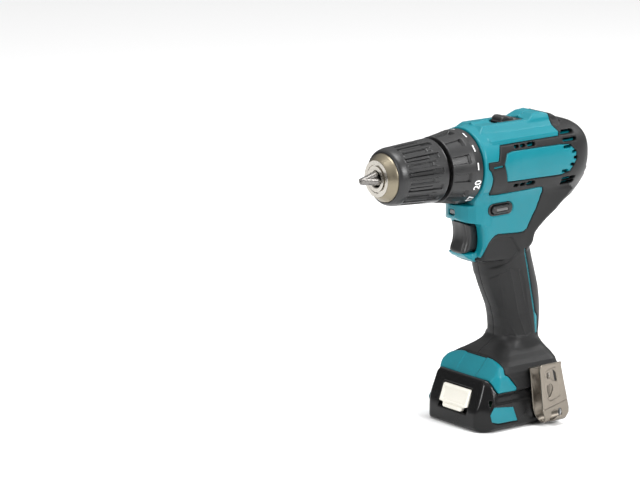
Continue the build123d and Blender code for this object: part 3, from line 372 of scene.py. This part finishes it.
def teal_fn(right):
    def fn(X, Y, Z):
        y = np.abs(Y)
        F = form(X, Y, Z)
        m = masks(X, Z)
        layer = smax(m - 0.14, -(F + 2.9), 0.25)                 # room for the overmould
        T = smax(F, -layer, 0.35)
        T = smax(T, -(F + 5.4), 0.3)                             # hollow inside
        capm = side2(CAPM, X, Z)
        T = smax(T, -smax(capm - 0.1, -(cap_form(X, Y, Z) + 2.2), 0.3), 0.3)
        T = smax(T, -cuts(X, y, Z, right), 0.45)
        T = smax(T, -smax(extr_slot(X, Z, 16, 149, 10.6, 4.5), 0.9 - (y - 17.4), 0.3), 0.4)
        T = smax(T, -smax(vents2(X, Z), -(F + 6.5), 0.2), 0.35)
        T = smax(T, -67.3 - X, 0.3)
        T = smax(T, -box3(X, y, Z, (1.0, 0, 201.5), (5.6, 2.6, 3.5), 0.3), 0.1)      # slot for the speed lever's post
        return smax(T, 0.05 - Y, 0.35)
    return fn


def black_fn(right):
    def fn(X, Y, Z):
        y = np.abs(Y)
        F = form(X, Y, Z)
        m = masks(X, Z)
        Fo = F - 0.3 + relief(X, y, Z)
        B = smax(Fo, m, 0.9)
        B = smax(B, -(F + 2.75), 0.2)
        B = smax(B, -67.35 - X, 0.3)
        B = smax(B, -box3(X, y, Z, (13.0, 0, 130), (4.6, 9.3, 11.9), 0.4), 0.2)      # room behind the trigger
        B = smax(B, -(side2(CAPM, X, Z) - 0.12), 0.4)
        B = smax(B, -cuts(X, y, Z, right), 0.4)
        B = smax(B, -vents2(X, Z, 0.35), 0.4)
        if right:
            pass
        return smax(B, 0.05 - Y, 0.3)
    return fn


# ------------------------------------------------------------------ materials
def mat(name, col, rough, metal=0.0, bump=0.0, bump_scale=900.0, col_var=0.06, rough_var=0.08, var_scale=35.0,
        coat=0.0, coat_rough=0.1, spec=0.5, stretch=None, wear=0.0, wear_col=(0.3, 0.3, 0.3), trans=0.0, sheen=0.0):
    m = bpy.data.materials.new(name); m.use_nodes = True
    nt = m.node_tree; N, L = nt.nodes, nt.links
    b = N["Principled BSDF"]
    b.inputs["Metallic"].default_value = metal
    b.inputs["Specular IOR Level"].default_value = spec
    if coat:
        b.inputs["Coat Weight"].default_value = coat; b.inputs["Coat Roughness"].default_value = coat_rough
    if trans:
        b.inputs["Transmission Weight"].default_value = trans
    if sheen:
        b.inputs["Sheen Weight"].default_value = sheen; b.inputs["Sheen Roughness"].default_value = 0.5
    tc = N.new("ShaderNodeTexCoord")
    src = tc.outputs["Object"]
    if stretch:
        mp = N.new("ShaderNodeMapping"); mp.inputs["Scale"].default_value = stretch
        L.new(src, mp.inputs["Vector"]); srcb = mp.outputs["Vector"]
    else:
        srcb = src
    n1 = N.new("ShaderNodeTexNoise"); n1.inputs["Scale"].default_value = var_scale; n1.inputs["Detail"].default_value = 5.0
    L.new(src, n1.inputs["Vector"])
    cr = N.new("ShaderNodeValToRGB")
    lo = [c * (1 - col_var) for c in col]; hi = [min(1, c * (1 + col_var)) for c in col]
    cr.color_ramp.elements[0].position = 0.3; cr.color_ramp.elements[1].position = 0.7
    cr.color_ramp.elements[0].color = (*lo, 1); cr.color_ramp.elements[1].color = (*hi, 1)
    L.new(n1.outputs["Fac"], cr.inputs["Fac"])
    colout = cr.outputs["Color"]
    if wear:
        ge = N.new("ShaderNodeNewGeometry")
        wr = N.new("ShaderNodeMapRange"); wr.inputs["From Min"].default_value = 0.52; wr.inputs["From Max"].default_value = 0.62
        wr.inputs["To Max"].default_value = wear
        L.new(ge.outputs["Pointiness"], wr.inputs["Value"])
        mx = N.new("ShaderNodeMix"); mx.data_type = "RGBA"
        L.new(wr.outputs["Result"], mx.inputs["Factor"]); L.new(colout, mx.inputs["A"]); mx.inputs["B"].default_value = (*wear_col, 1)
        colout = mx.outputs["Result"]
    L.new(colout, b.inputs["Base Color"])
    n2 = N.new("ShaderNodeTexNoise"); n2.inputs["Scale"].default_value = bump_scale; n2.inputs["Detail"].default_value = 3.0
    L.new(srcb, n2.inputs["Vector"])
    mr = N.new("ShaderNodeMapRange")
    mr.inputs["From Min"].default_value = 0.25; mr.inputs["From Max"].default_value = 0.75
    mr.inputs["To Min"].default_value = max(0.02, rough - rough_var); mr.inputs["To Max"].default_value = min(1, rough + rough_var)
    L.new((n2 if stretch else n1).outputs["Fac"], mr.inputs["Value"])
    L.new(mr.outputs["Result"], b.inputs["Roughness"])
    if bump:
        bp = N.new("ShaderNodeBump"); bp.inputs["Strength"].default_value = bump; bp.inputs["Distance"].default_value = 0.0002
        L.new(n2.outputs["Fac"], bp.inputs["Height"]); L.new(bp.outputs["Normal"], b.inputs["Normal"])
    return m


M = {
    "teal": mat("teal_plastic", (0.0, 0.165, 0.205), 0.36, bump=0.10, bump_scale=1500, col_var=0.05, rough_var=0.05, spec=0.34),
    "rubber": mat("black_rubber", (0.0095, 0.0095, 0.0098), 0.47, bump=0.30, bump_scale=2200, col_var=0.18, rough_var=0.06, spec=0.26),
    "plastic": mat("black_plastic", (0.0095, 0.0095, 0.0100), 0.36, bump=0.14, bump_scale=1800, col_var=0.15, rough_var=0.06, spec=0.5),
    "gloss": mat("gloss_black", (0.0050, 0.0050, 0.0052), 0.25, bump=0.06, bump_scale=1500, col_var=0.12, rough_var=0.05, spec=0.26),
    "grey": mat("grey_plastic", (0.10, 0.10, 0.10), 0.34, bump=0.15, bump_scale=1500),
    "cream": mat("cream_plastic", (0.76, 0.735, 0.66), 0.38, bump=0.12, bump_scale=1500, col_var=0.02),
    "white": mat("white_print", (0.80, 0.80, 0.80), 0.5, bump=0.05, col_var=0.03),
    "steel": mat("bright_steel", (0.56, 0.53, 0.48), 0.24, metal=1.0, bump=0.12, bump_scale=260, stretch=(18, 1, 1), rough_var=0.08),
    "dark_steel": mat("dark_steel", (0.20, 0.19, 0.18), 0.28, metal=1.0, bump=0.12, bump_scale=300, stretch=(12, 1, 1), rough_var=0.08),
    "champagne": mat("champagne_metal", (0.235, 0.205, 0.150), 0.36, metal=1.0, bump=0.10, bump_scale=260, stretch=(18, 1, 1)),
    "nickel": mat("nickel_clip", (0.225, 0.200, 0.168), 0.34, metal=1.0, bump=0.16, bump_scale=300, stretch=(1, 1, 9), col_var=0.10),
    "gear": mat("gear_steel", (0.32, 0.31, 0.30), 0.40, metal=1.0, bump=0.2, bump_scale=900),
    "zinc": mat("cast_zinc", (0.40, 0.40, 0.41), 0.45, metal=1.0, bump=0.25, bump_scale=700),
    "magnet": mat("magnet", (0.06, 0.06, 0.065), 0.5, metal=0.3, bump=0.2, bump_scale=600),
    "brass": mat("brass", (0.62, 0.42, 0.16), 0.3, metal=1.0, bump=0.1, bump_scale=600),
    "wrap": mat("cell_wrap", (0.05, 0.22, 0.12), 0.3, bump=0.1, bump_scale=600, coat=0.3),
    "lens": mat("clear_lens", (0.28, 0.30, 0.31), 0.12, bump=0.05, trans=0.5),
    "dark": mat("dark_recess", (0.006, 0.006, 0.006), 0.7, bump=0.2),
}


def put(o, key, body, nodes=()):
    o.data.materials.clear(); o.data.materials.append(M[key])
    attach(o, body)
    if nodes:
        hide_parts(*nodes)
    return o


# ------------------------------------------------------------------ housing, overmould, cap
tl = nets(teal_fn(False), (-69, -1.3, 24.5), (45, 34, 211), H, "teal_shell_left")
put(tl, "teal", "housing", ["housing_left"])
tr = mirrored(nets(teal_fn(True), (-69, -1.3, 24.5), (45, 34, 211), H, "tmp_r"), "teal_shell_right")
bpy.data.objects.remove(bpy.data.objects["tmp_r"])
put(tr, "teal", "housing", ["housing_right"])
bl = nets(black_fn(False), (-69, -1.3, 24.5), (45, 34, 211), H, "overmould_left")
put(bl, "rubber", "housing", ["grip_overmould_left"])
br = mirrored(nets(black_fn(True), (-69, -1.3, 24.5), (45, 34, 211), H, "tmp_r"), "overmould_right")
bpy.data.objects.remove(bpy.data.objects["tmp_r"])
put(br, "rubber", "housing", ["grip_overmould_right"])


def cap_fn(X, Y, Z):
    y = np.abs(Y)
    d = cap_form(X, Y, Z)
    d = smax(d, side2(CAPM, X, Z) + 0.05, 0.7)
    d = smax(d, -(cap_form(X, Y, Z) + 2.0), 0.3)
    d = smax(d, -side2([(26.6, 20), (26.6, 26.0), (30.0, 34.3), (60, 34.3), (60, 20)], X, Z), 0.4)
    d = smax(d, 26.0 - Z, 0.4)
    return d


cap = nets(cap_fn, (7, -34, 24.5), (33, 34, 54), 0.5, "foot_front_cap")
put(cap, "teal", "housing", ["foot_cap"])

# ------------------------------------------------------------------ turned parts
def lathe(name, prof, n=160, sharp=32, rfun=None, sub=1):
    "closed ring swept about the spindle; prof is (x, r); rfun(x, angle, r, k) may change the radius"
    P = []
    for i in range(len(prof)):
        a, b = prof[i], prof[(i + 1) % len(prof)]
        for t in range(sub if isinstance(sub, int) else sub[i]):
            s = t / (sub if isinstance(sub, int) else sub[i])
            P.append((a[0] + (b[0] - a[0]) * s, a[1] + (b[1] - a[1]) * s, i))
    m = len(P)
    th = np.arange(n) * 2 * math.pi / n
    X = np.array([p[0] for p in P])[:, None] + 0 * th[None]
    R = np.array([p[1] for p in P])[:, None] + 0 * th[None]
    if rfun is not None:
        X, R = rfun(X, th[None] + 0 * X, R, np.array([p[2] for p in P])[:, None])
    V = np.stack([X, R * np.cos(th)[None], ZA + R * np.sin(th)[None]], -1).reshape(-1, 3)
    i, j = np.meshgrid(np.arange(m), np.arange(n), indexing="ij")
    a = i * n + j; b = i * n + (j + 1) % n; c = ((i + 1) % m) * n + (j + 1) % n; d = ((i + 1) % m) * n + j
    Q = np.stack([a, d, c, b], -1).reshape(-1, 4)
    o = new_mesh(name, V, Q, sharp=sharp)
    import bmesh
    bm = bmesh.new(); bm.from_mesh(o.data); bmesh.ops.recalc_face_normals(bm, faces=bm.faces); bm.to_mesh(o.data); bm.free()
    return o


def smooth01(e, w):
    return np.clip(0.5 + e / w, 0, 1) ** 2 * (3 - 2 * np.clip(0.5 + e / w, 0, 1))


def ring_r(X, T, R, K):
    "twelve square-ended grip recesses on the front half of the torque ring"
    ph = (np.degrees(T) + 7.0) % 30.0
    c = np.minimum(ph, 30 - ph)
    a = smooth01(6.6 - c, 0.9) * smooth01(58.4 - X, 0.5) * smooth01(X - 46.2, 0.5)
    wall = smooth01(1.2 - np.abs(X - 46.8), 0.4) * smooth01(7.2 - c, 0.6)
    return X, np.where(K == 1, R - 0.9 * a - 0.9 * wall, R)


NS = 720
ring = lathe("torque_ring_shell", [(36.3, 20.0), (36.3, 24.5), (36.8, 24.9), (42.4, 24.9), (59.1, 22.2), (59.5, 21.8), (59.5, 13.1), (57.6, 13.1), (57.6, 20.0)],
             n=NS, sub=[1, 2, 8, 48, 2, 1, 1, 1, 1], rfun=lambda X, T, R, K: ring_r(X, T, R, np.where((K == 2) | (K == 3), 1, 0)), sharp=38)
put(ring, "plastic", "torque_ring", ["torque_ring"])


def sleeve_r(X, T, R, K):
    "long ribs between stepped flutes"
    ph = (np.degrees(T) + 4.0) % 30.0
    c = ph - 15.0
    s = np.clip((X - 64.0) / 32.0, 0, 1)
    w = 4.9 - 0.8 * s
    a = smooth01(w - np.abs(c), 0.9) * smooth01(94.0 - X, 1.6) * smooth01(X - 66.8, 0.8)             # flute floor
    pad = smooth01(w - 1.5 - np.abs(c), 0.8) * smooth01(93.0 - X, 1.2) * smooth01(X - 74.8, 0.7)      # pad inside the flute
    e = np.minimum(ph, 30 - ph)
    g = smooth01(3.3 - e, 0.8) * smooth01(93.2 - X, 1.6) * smooth01(X - 74.6, 0.7)
    g2 = smooth01(0.9 - np.abs(e - 4.4), 0.6) * smooth01(93.6 - X, 1.6) * smooth01(X - 70.6, 0.7)
    return X, np.where(K == 1, R - 1.25 * a + 0.75 * pad - 0.85 * g - 0.35 * g2, R)


sleeve = lathe("chuck_sleeve_shell", [(62.4, 17.25), (62.4, 20.9), (62.7, 21.35), (63.4, 21.5), (95.8, 19.5), (98.2, 19.0), (99.8, 18.4), (100.8, 17.6), (101.2, 16.9), (101.2, 16.6), (98.3, 16.6), (98.3, 17.25)],
               n=NS, sub=[1, 1, 2, 70, 3, 2, 2, 2, 1, 1, 1, 1], rfun=lambda X, T, R, K: sleeve_r(X, T, R, np.where(K == 3, 1, 0)), sharp=38)
put(sleeve, "plastic", "chuck_sleeve", ["chuck_sleeve"])
cone = lathe("nose_cone_ring", [(97.6, 12.24), (97.6, 15.8), (98.0, 16.2), (101.4, 16.2), (101.7, 16.1), (106.8, 12.6), (107.0, 12.4), (107.0, 12.24)],
             n=240, sub=[1, 1, 2, 1, 6, 1, 1, 1])
put(cone, "champagne", "spindle", ["nose_cone"])


# ------------------------------------------------------------------ marks on the torque ring
def wrap_print(name, verts, faces, r0=24.93, body="torque_ring"):
    V = []
    for x, a, h in verts:
        r = r0 + h
        V.append((x, r * math.cos(a), ZA + r * math.sin(a)))
    o = new_mesh(name, V, faces=faces, smooth=False)
    return put(o, "white", body, ())


def dash(name, deg):
    v, f = [], []
    n = 10
    for i in range(n + 1):
        a = math.radians(deg) + (i / n - 0.5) * 4.9 / 24.9
        for x in (40.1, 41.0):
            v.append((x, a, 0.02))
    for i in range(n):
        f.append((2 * i, 2 * i + 1, 2 * i + 3, 2 * i + 2))
    return wrap_print(name, v, f)


def number(name, text, deg):
    cu = bpy.data.curves.new(name + "_c", "FONT"); cu.body = text; cu.size = 7.4; cu.align_x = "CENTER"; cu.align_y = "CENTER"
    cu.offset = 0.14; cu.resolution_u = 3
    ob = bpy.data.objects.new(name + "_c", cu); bpy.context.scene.collection.objects.link(ob)
    me = bpy.data.meshes.new_from_object(ob)
    import bmesh
    bm = bmesh.new(); bm.from_mesh(me)
    bmesh.ops.triangulate(bm, faces=bm.faces)
    bmesh.ops.subdivide_edges(bm, edges=[e for e in bm.edges if e.calc_length() > 0.8], cuts=1)
    bmesh.ops.triangulate(bm, faces=bm.faces)
    a0 = math.radians(deg)
    V = [(39.9 + v.co.y, a0 + v.co.x / 24.9, 0.02) for v in bm.verts]
    bm.verts.index_update()
    F = [tuple(v.index for v in f.verts) for f in bm.faces]
    bm.free()
    bpy.data.objects.remove(ob); bpy.data.meshes.remove(me); bpy.data.curves.remove(cu)
    return wrap_print(name, V, F)


for k, d in enumerate((66, 38, 9)):
    dash(f"ring_dash_{k}", d)
for t, d in (("20", -21), ("17", -52), ("13", -82), ("9", -112), ("5", -142), ("1", -172)):
    number(f"ring_number_{t}", t, d)
for k, d in enumerate((156, 126, 96)):
    dash(f"ring_dash_{k + 3}", d)

# ------------------------------------------------------------------ trigger, levers, light
TRIG = [(17.5, 119.9), (30, 119.2), (36.2, 118.2), (38.2, 118.4), (39.2, 119.9), (38.6, 122.6), (37.2, 126.2), (36.6, 130), (36.7, 134), (37.4, 137.2), (38.3, 139.4), (37.8, 140.4), (17.5, 140.4)]


def trig_fn(X, Y, Z):
    y = np.abs(Y)
    s = side2(curve(TRIG, 3), X, Z)
    d = np.maximum(extr(s, 8.9, 1.0, y), 17.5 - X)
    d = smax(d, s + 0.085 * np.maximum(y - 2.0, 0) ** 1.7, 1.0)          # front face rounds away from the middle
    u = (y - 6.0 + (X - 36) * 0.0) / 0.45
    d = d + 0.42 * np.exp(-u * u) * np.clip((X - 29) / 2, 0, 1)
    r = np.sqrt(Y * Y + (Z - 130) ** 2)
    d = smax(d, -np.maximum(np.maximum(4.4 - r, r - 5.9), X - 25.3), 0.15)
    return np.minimum(d, box3(X, Y, Z, (11.6, 0, 130), (6.1, 3, 3), 0.4))


trg = nets(trig_fn, (4, -10, 118.5), (40, 10, 142), 0.38, "trigger_shell")
put(trg, "plastic", "trigger", ["trigger"])


def rev_fn(X, Y, Z):
    y = np.abs(Y)
    s = extr_slot(X, Z, 16, 149, 8.3, 2.8)
    d = extr(s, 20.6, 0.7, y)
    s2 = extr_slot(X, Z, 16, 149, 5.4, 1.3)
    return smax(d, -smax(s2, 20.0 - y, 0.1), 0.3)


rv = nets(rev_fn, (6.5, -21.5, 145), (25.5, 21.5, 153), 0.32, "reverse_lever_shell")
put(rv, "plastic", "reverse_lever", ["reverse_lever"])
for s in (1, -1):
    def rin(X, Y, Z, s=s):
        return extr(extr_slot(X, Z, 16, 149, 5.1, 1.05), 0.55, 0.25, np.abs(Y - s * 20.05))
    o = nets(rin, (10, s * 20.05 - 1.2, 147.2), (22, s * 20.05 + 1.2, 150.8), 0.3, "reverse_mark_" + ("left" if s > 0 else "right"))
    put(o, "grey", "reverse_lever", ())


def bezel_fn(X, Y, Z):
    y = np.abs(Y)
    s = extr_slot(X, Z, 16, 149, 10.4, 4.3)
    d = smax(s, np.abs(y - 18.1) - 0.9, 0.5)
    return smax(d, -extr_slot(X, Z, 16, 149, 8.7, 3.2), 0.3)


for s, nm in ((1, "left"), (-1, "right")):
    o = nets(lambda X, Y, Z, s=s: np.where(Y * s > 0, bezel_fn(X, Y, Z), 5.0), (4.5, -20.5 if s < 0 else 16.5, 143.5), (27.5, -16.5 if s < 0 else 20.5, 154.5), 0.32, "reverse_bezel_" + nm)
    put(o, "plastic", "housing", ())

SPD = [(-6.4, 203.6), (-6.2, 205.6), (-5.4, 206.6), (-3.6, 206.6), (-1.6, 207.3), (0.2, 207.9), (2.4, 207.8), (3.9, 207.1), (4.6, 205.9), (4.7, 205.0), (4.7, 203.6)]


def spd_fn(X, Y, Z):
    y = np.abs(Y)
    base = box3(X, Y, Z, (-4.5, 0, 203.9), (9.1, 6.1, 0.6), 0.3)
    kn = extr(side2(curve(SPD, 4), X, Z), 5.2, 0.9, y)
    kn = kn + 0.25 * (0.5 + 0.5 * np.cos(2 * math.pi * X / 1.6)) * np.clip(-(X + 1) / 1.0, 0, 1) * np.clip((Z - 204.6), 0, 1)
    post = box3(X, Y, Z, (-2.5, 0, 201.8), (1.3, 2, 1.9), 0.2)
    return np.minimum(np.minimum(base, kn), post)


sp = nets(spd_fn, (-14.6, -7, 199.4), (12.6, 7, 209), 0.32, "speed_lever_shell")
put(sp, "plastic", "speed_lever", ["speed_lever"])
bed = nets(lambda X, Y, Z: smax(box3(X, Y, Z, (-1.0, 0, 202.5), (13.0, 6.3, 0.6), 0.3), -box3(X, Y, Z, (1.0, 0, 202.5), (5.4, 2.5, 3), 0.2), 0.1), (-15, -7.4, 201), (13.2, 7.4, 204), 0.32, "speed_lever_bed")
put(bed, "plastic", "housing", ())
mk = nets(lambda X, Y, Z: box3(X, Y, Z, (-7.9, 0, 204.6), (1.0, 4.4, 0.5), 0.2), (-9.6, -5.2, 203.6), (-6.2, 5.2, 205.6), 0.3, "speed_mark")
put(mk, "grey", "speed_lever", ())


def led_fn(X, Y, Z):
    y = np.abs(Y)
    d = box3(X, Y, Z, (40.4, 0, 147.4), (1.9, 2.6, 1.7), 0.7)
    return d


ld = nets(led_fn, (38, -4.2, 146), (43.4, 4.2, 151), 0.25, "work_light_lens")
put(ld, "lens", "housing", ["led_lens"])

# ------------------------------------------------------------------ battery
def batt_outer(X, Y, Z):
    y = np.abs(Y)
    d = plane(X, y, Z, (41.2, 0, 6), (1, 0, 0))
    for p, n in (((41.2, 0, 12), (1, 0, 0.365)), ((38.2, 27, 8), (0.72, 0.69, 0)), ((36.4, 28.5, 16), (0.66, 0.70, 0.28)),
                 ((0, 32.75, 8), (0, 1, 0)), ((31.5, 24.6, 33.6), (0.34, 0.55, 0.76)), ((0, 32.75, 21.5), (0, 1, 0.22)),
                 ((-34, 0, 10), (-1, 0, 0)), ((-30.4, 29.2, 8), (-0.7, 0.7, 0)), ((40.6, 0, 1.2), (0.7, 0, -0.7)),
                 ((0, 31.8, 1.6), (0, 0.55, -0.83)), ((0, 0, 0.0), (0, 0, -1)), ((-33.4, 0, 1.0), (-0.6, 0, -0.8))):
        d = smax(d, plane(X, y, Z, p, n), 1.3)
    top = side2([(-60, 25.6), (26.4, 25.6), (30.4, 34.5), (60, 34.5), (60, 60), (-60, 60)], X, Z)
    d = smax(d, -top, 0.8)
    return d


def batt_fn(X, Y, Z):
    y = np.abs(Y)
    d = batt_outer(X, Y, Z)
    # side ledge: lower body steps out below z = 18 between front corner and rear
    ledge = np.clip((Z - 18.6) / 1.2, 0, 1) * np.clip((31 - X) / 2, 0, 1) * np.clip((y - 26) / 3, 0, 1)
    d = d + 0.75 * ledge
    # shallow label recess on each side
    lab = side2([(35.2, 12.6), (31.6, 18.0), (14.6, 15.8), (10.2, 5.0), (28.1, 5.4), (33.6, 7.2)], X, Z)
    d = smax(d, -smax(lab, 32.35 - y, 0.1), 0.25)
    d = smax(d, -np.maximum(side2([(50, 10.6), (50, 27.0), (32.0, 27.0), (35.0, 10.6)], X, Z), y - 14.9), 0.5)
    d = smax(d, -box3(X, Y, Z, (0.65, 0, 11.75), (32.6, 30.6, 9.7), 0.5), 0.2)
    d = smax(d, -box3(X, Y, Z, (-2.4, 0, 24), (29.5, 30.6, 4), 0.3), 0.2)
    d = smax(d, -np.maximum(np.sqrt((Y - 12) ** 2 + (Z - 13) ** 2) - 3.2, X + 30), 0.3)
    d = smax(d, -box3(X, Y, Z, (-34, -5, 13), (0.9, 8.2, 2.7), 0.3), 0.2)
    return d


bt = nets(batt_fn, (-35.2, -34, -1.2), (42.6, 34, 36), 0.55, "battery_shell")
put(bt, "gloss", "battery", ["battery_case"])


def label_fn(s):
    def fn(X, Y, Z):
        y = Y * s
        lab = side2([(34.7, 12.5), (31.3, 17.5), (14.9, 15.4), (10.9, 5.4), (28.0, 5.8), (33.2, 7.5)], X, Z)
        return smax(lab, np.abs(y - 32.42) - 0.22, 0.2)
    return fn


for s, nm in ((1, "left"), (-1, "right")):
    o = nets(label_fn(s), (9, 31.4 if s > 0 else -33.3, 4), (36, 33.3 if s > 0 else -31.4, 19), 0.3, "battery_label_" + nm)
    put(o, "teal", "battery", ())


def latch_fn(X, Y, Z):
    y = np.abs(Y)
    s = side2([(41.6, 11.3), (42.0, 12.4), (37.1, 25.9), (36.2, 26.4), (35.2, 26.4), (38.2, 11.3)], X, Z)
    w = tab(Z, [11, 13.8, 15.0, 26], [9.6, 10.0, 14.3, 14.3])
    d = extr(s, w, 1.2, y)
    # pressed-in face with a ridge along its lower edge
    rec = smax(y - 11.9, np.abs(Z - 20.4) - 3.9, 1.0)
    face = plane(X, y, Z, (42.0, 0, 12.4), (1, 0, 0.363))
    d = smax(d, -smax(rec, -(face + 0.8), 0.2), 0.5)
    groove = np.abs((Z - 14.4)) - 0.35
    d = smax(d, -smax(np.maximum(groove, y - 12.5), -(face + 0.75), 0.1), 0.3)
    return d


lt = nets(latch_fn, (34.2, -15.5, 10.2), (43, 15.5, 27.4), 0.35, "latch_button")
put(lt, "cream", "battery_latch", ["battery_latch"])

# ------------------------------------------------------------------ belt clip
def clip_fn(X, Y, Z):
    yc, r0 = 39.05, 5.1
    inner = np.abs(Y - 33.95) - 0.0
    dz = Z - 8.0
    arc = np.abs(np.sqrt((Y - yc) ** 2 + np.minimum(dz, 0) ** 2) - r0)
    leg = np.where(Z > 8, np.minimum(np.abs(Y - (yc - r0)), np.abs(Y - (yc + r0))), arc)
    d = leg - 0.7
    front = side2([(-1.4, 46), (1.6, 43.6), (1.9, 41.5), (-1.5, 11.8), (-3.4, 6.8), (-4.4, 4.6), (-5.6, 1.6), (-5.6, -2), (-23.0, -2), (-23.0, 5.4), (-24.3, 8.2), (-24.4, 11), (-22.7, 18), (-16.9, 41.6), (-17.0, 46)], X, Z)
    d = smax(d, front, 0.5)
    d = smax(d, Z - np.where(Y > 39, 44.4, 40.0), 0.5)
    h1 = side2([(-3.6, 38.0), (-6.6, 38.8), (-8.4, 40.4), (-10.0, 39.6), (-12.0, 37.6), (-13.4, 31.2), (-10.4, 31.8), (-7.6, 33.8), (-4.4, 34.2)], X, Z)
    h2 = side2(curve([(-4.4, 28.6), (-6.4, 30.2), (-8.8, 29.4), (-9.9, 27.4), (-9.0, 24.0), (-6.6, 20.4), (-5.3, 23.6)], 3), X, Z)
    d = smax(d, -np.maximum(np.minimum(h1, h2) + 0.2, 39.0 - Y), 0.35)
    n1 = side2(curve([(-5.6, -3), (-6.0, 4.6), (-8.6, 6.4), (-9.0, 10.6), (-13.6, 12.2), (-17.6, 11.4), (-17.8, 7.2), (-14.4, 6.4), (-12.0, 4.2), (-11.6, -3)], 3), X, Z)
    d = smax(d, -np.maximum(n1, 39.05 - Y), 0.4)
    rim = side2(curve([(-9.2, 41.4), (-12.6, 39.4), (-15.8, 23.2), (-14.6, 20.8), (-7.6, 18.9), (-4.2, 23), (-2.6, 29), (-2.4, 39)], 3), X, Z)
    d = d + (Y > 43.2) * (0.34 * np.exp(-((rim) / 0.5) ** 2) + 0.12 * np.clip(-rim / 1.2, 0, 1))
    d = d + 0.22 * np.exp(-((Z - 14.8 + (X + 10) * 0.22) / 0.4) ** 2) * (Y > 43.2)
    tabp = box3(X, Y, Z, (-8.4, 32.6, 39.3), (8.8, 1.7, 0.7), 0.3)
    d = np.minimum(d, tabp)
    d = smax(d, -np.maximum(np.sqrt((X + 10) ** 2 + (Z - 34) ** 2) - 2.2, Y - 36), 0.2)
    return d


cl = nets(clip_fn, (-26, 30.2, 0.6), (2.4, 46, 45.4), 0.33, "belt_clip_strip")
put(cl, "nickel", "housing", ["belt_clip"])

# ------------------------------------------------------------------ CAD pieces that keep their shape
keep = {"chuck_body": "steel", "jaw_1": "dark_steel", "jaw_2": "dark_steel", "jaw_3": "dark_steel", "chuck_screw": "steel",
        "housing_screws": "steel", "clip_screw": "steel", "gear_case": "zinc", "motor_plate": "zinc", "ring_gear_1": "gear",
        "ring_gear_2": "gear", "clutch_pins": "steel", "clutch_washer": "steel", "clutch_spring": "steel", "front_bearing_outer": "steel",
        "front_bearing_inner": "steel", "motor_can": "gear", "motor_magnets": "magnet", "end_bell": "plastic", "brushes": "brass",
        "switch_module": "plastic", "trigger_spring": "steel", "terminal_block": "plastic", "torque_nut": "grey", "spindle": "steel",
        "output_carrier": "gear", "jaw_nut": "gear", "carrier_1": "gear", "rotor": "gear", "pinion": "gear", "cooling_fan": "plastic",
        "shift_fork": "plastic", "battery_cover": "gloss", "battery_contacts": "brass", "battery_cells": "wrap", "latch_spring": "steel",
        "gauge_window": "lens", "check_button": "grey", **{f"planet_{s}{c}": "gear" for s in (1, 2) for c in "abc"}}
for node, key in keep.items():
    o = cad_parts[node]
    o = o if hasattr(o, "data") else bpy.data.objects[o]
    o.data.materials.clear() if False else None
    if len(o.material_slots) == 0:
        o.data.materials.append(M[key])
    for sl in o.material_slots:
        sl.material = M[key]

# ------------------------------------------------------------------ stage and light
def area(name, loc, target, size, energy, size_y=None):
    li = bpy.data.lights.new(name, "AREA"); li.size = size; li.energy = energy
    if size_y:
        li.shape = "RECTANGLE"; li.size_y = size_y
    o = bpy.data.objects.new(name, li); bpy.context.scene.collection.objects.link(o)
    o.location = loc
    o.rotation_euler = (Vector(target) - Vector(loc)).to_track_quat("-Z", "Y").to_euler()
    return o


bpy.ops.mesh.primitive_plane_add(size=12, location=(0, 0, -0.0004))
floor = bpy.context.object; floor.name = "floor"
fm = bpy.data.materials.new("floor"); fm.use_nodes = True
fm.node_tree.nodes["Principled BSDF"].inputs["Base Color"].default_value = (0.90, 0.90, 0.90, 1)
fm.node_tree.nodes["Principled BSDF"].inputs["Roughness"].default_value = 0.8
floor.data.materials.append(fm)
area("key", (-0.15, 1.55, 0.95), (0, 0, 0.13), 0.50, 22)
area("front", (1.75, 0.05, 0.75), (0, 0, 0.13), 0.40, 12)
area("top", (0.05, 0.1, 1.7), (0, 0, 0.1), 0.7, 17)
area("rim", (-1.1, 0.15, 0.9), (0, 0, 0.14), 0.5, 6)
w = bpy.data.worlds.new("world"); bpy.context.scene.world = w; w.use_nodes = True
wn, wl = w.node_tree.nodes, w.node_tree.links
wt = wn.new("ShaderNodeTexCoord"); wsep = wn.new("ShaderNodeSeparateXYZ"); wr = wn.new("ShaderNodeMapRange")
wl.new(wt.outputs["Generated"], wsep.inputs["Vector"]); wl.new(wsep.outputs["Z"], wr.inputs["Value"])
wr.inputs["From Min"].default_value = 0.10; wr.inputs["From Max"].default_value = 0.85
wr.inputs["To Min"].default_value = 0.10; wr.inputs["To Max"].default_value = 1.05
wn["Background"].inputs["Color"].default_value = (1, 1, 1, 1)
wl.new(wr.outputs["Result"], wn["Background"].inputs["Strength"])
bpy.context.scene.view_settings.view_transform = "Standard"

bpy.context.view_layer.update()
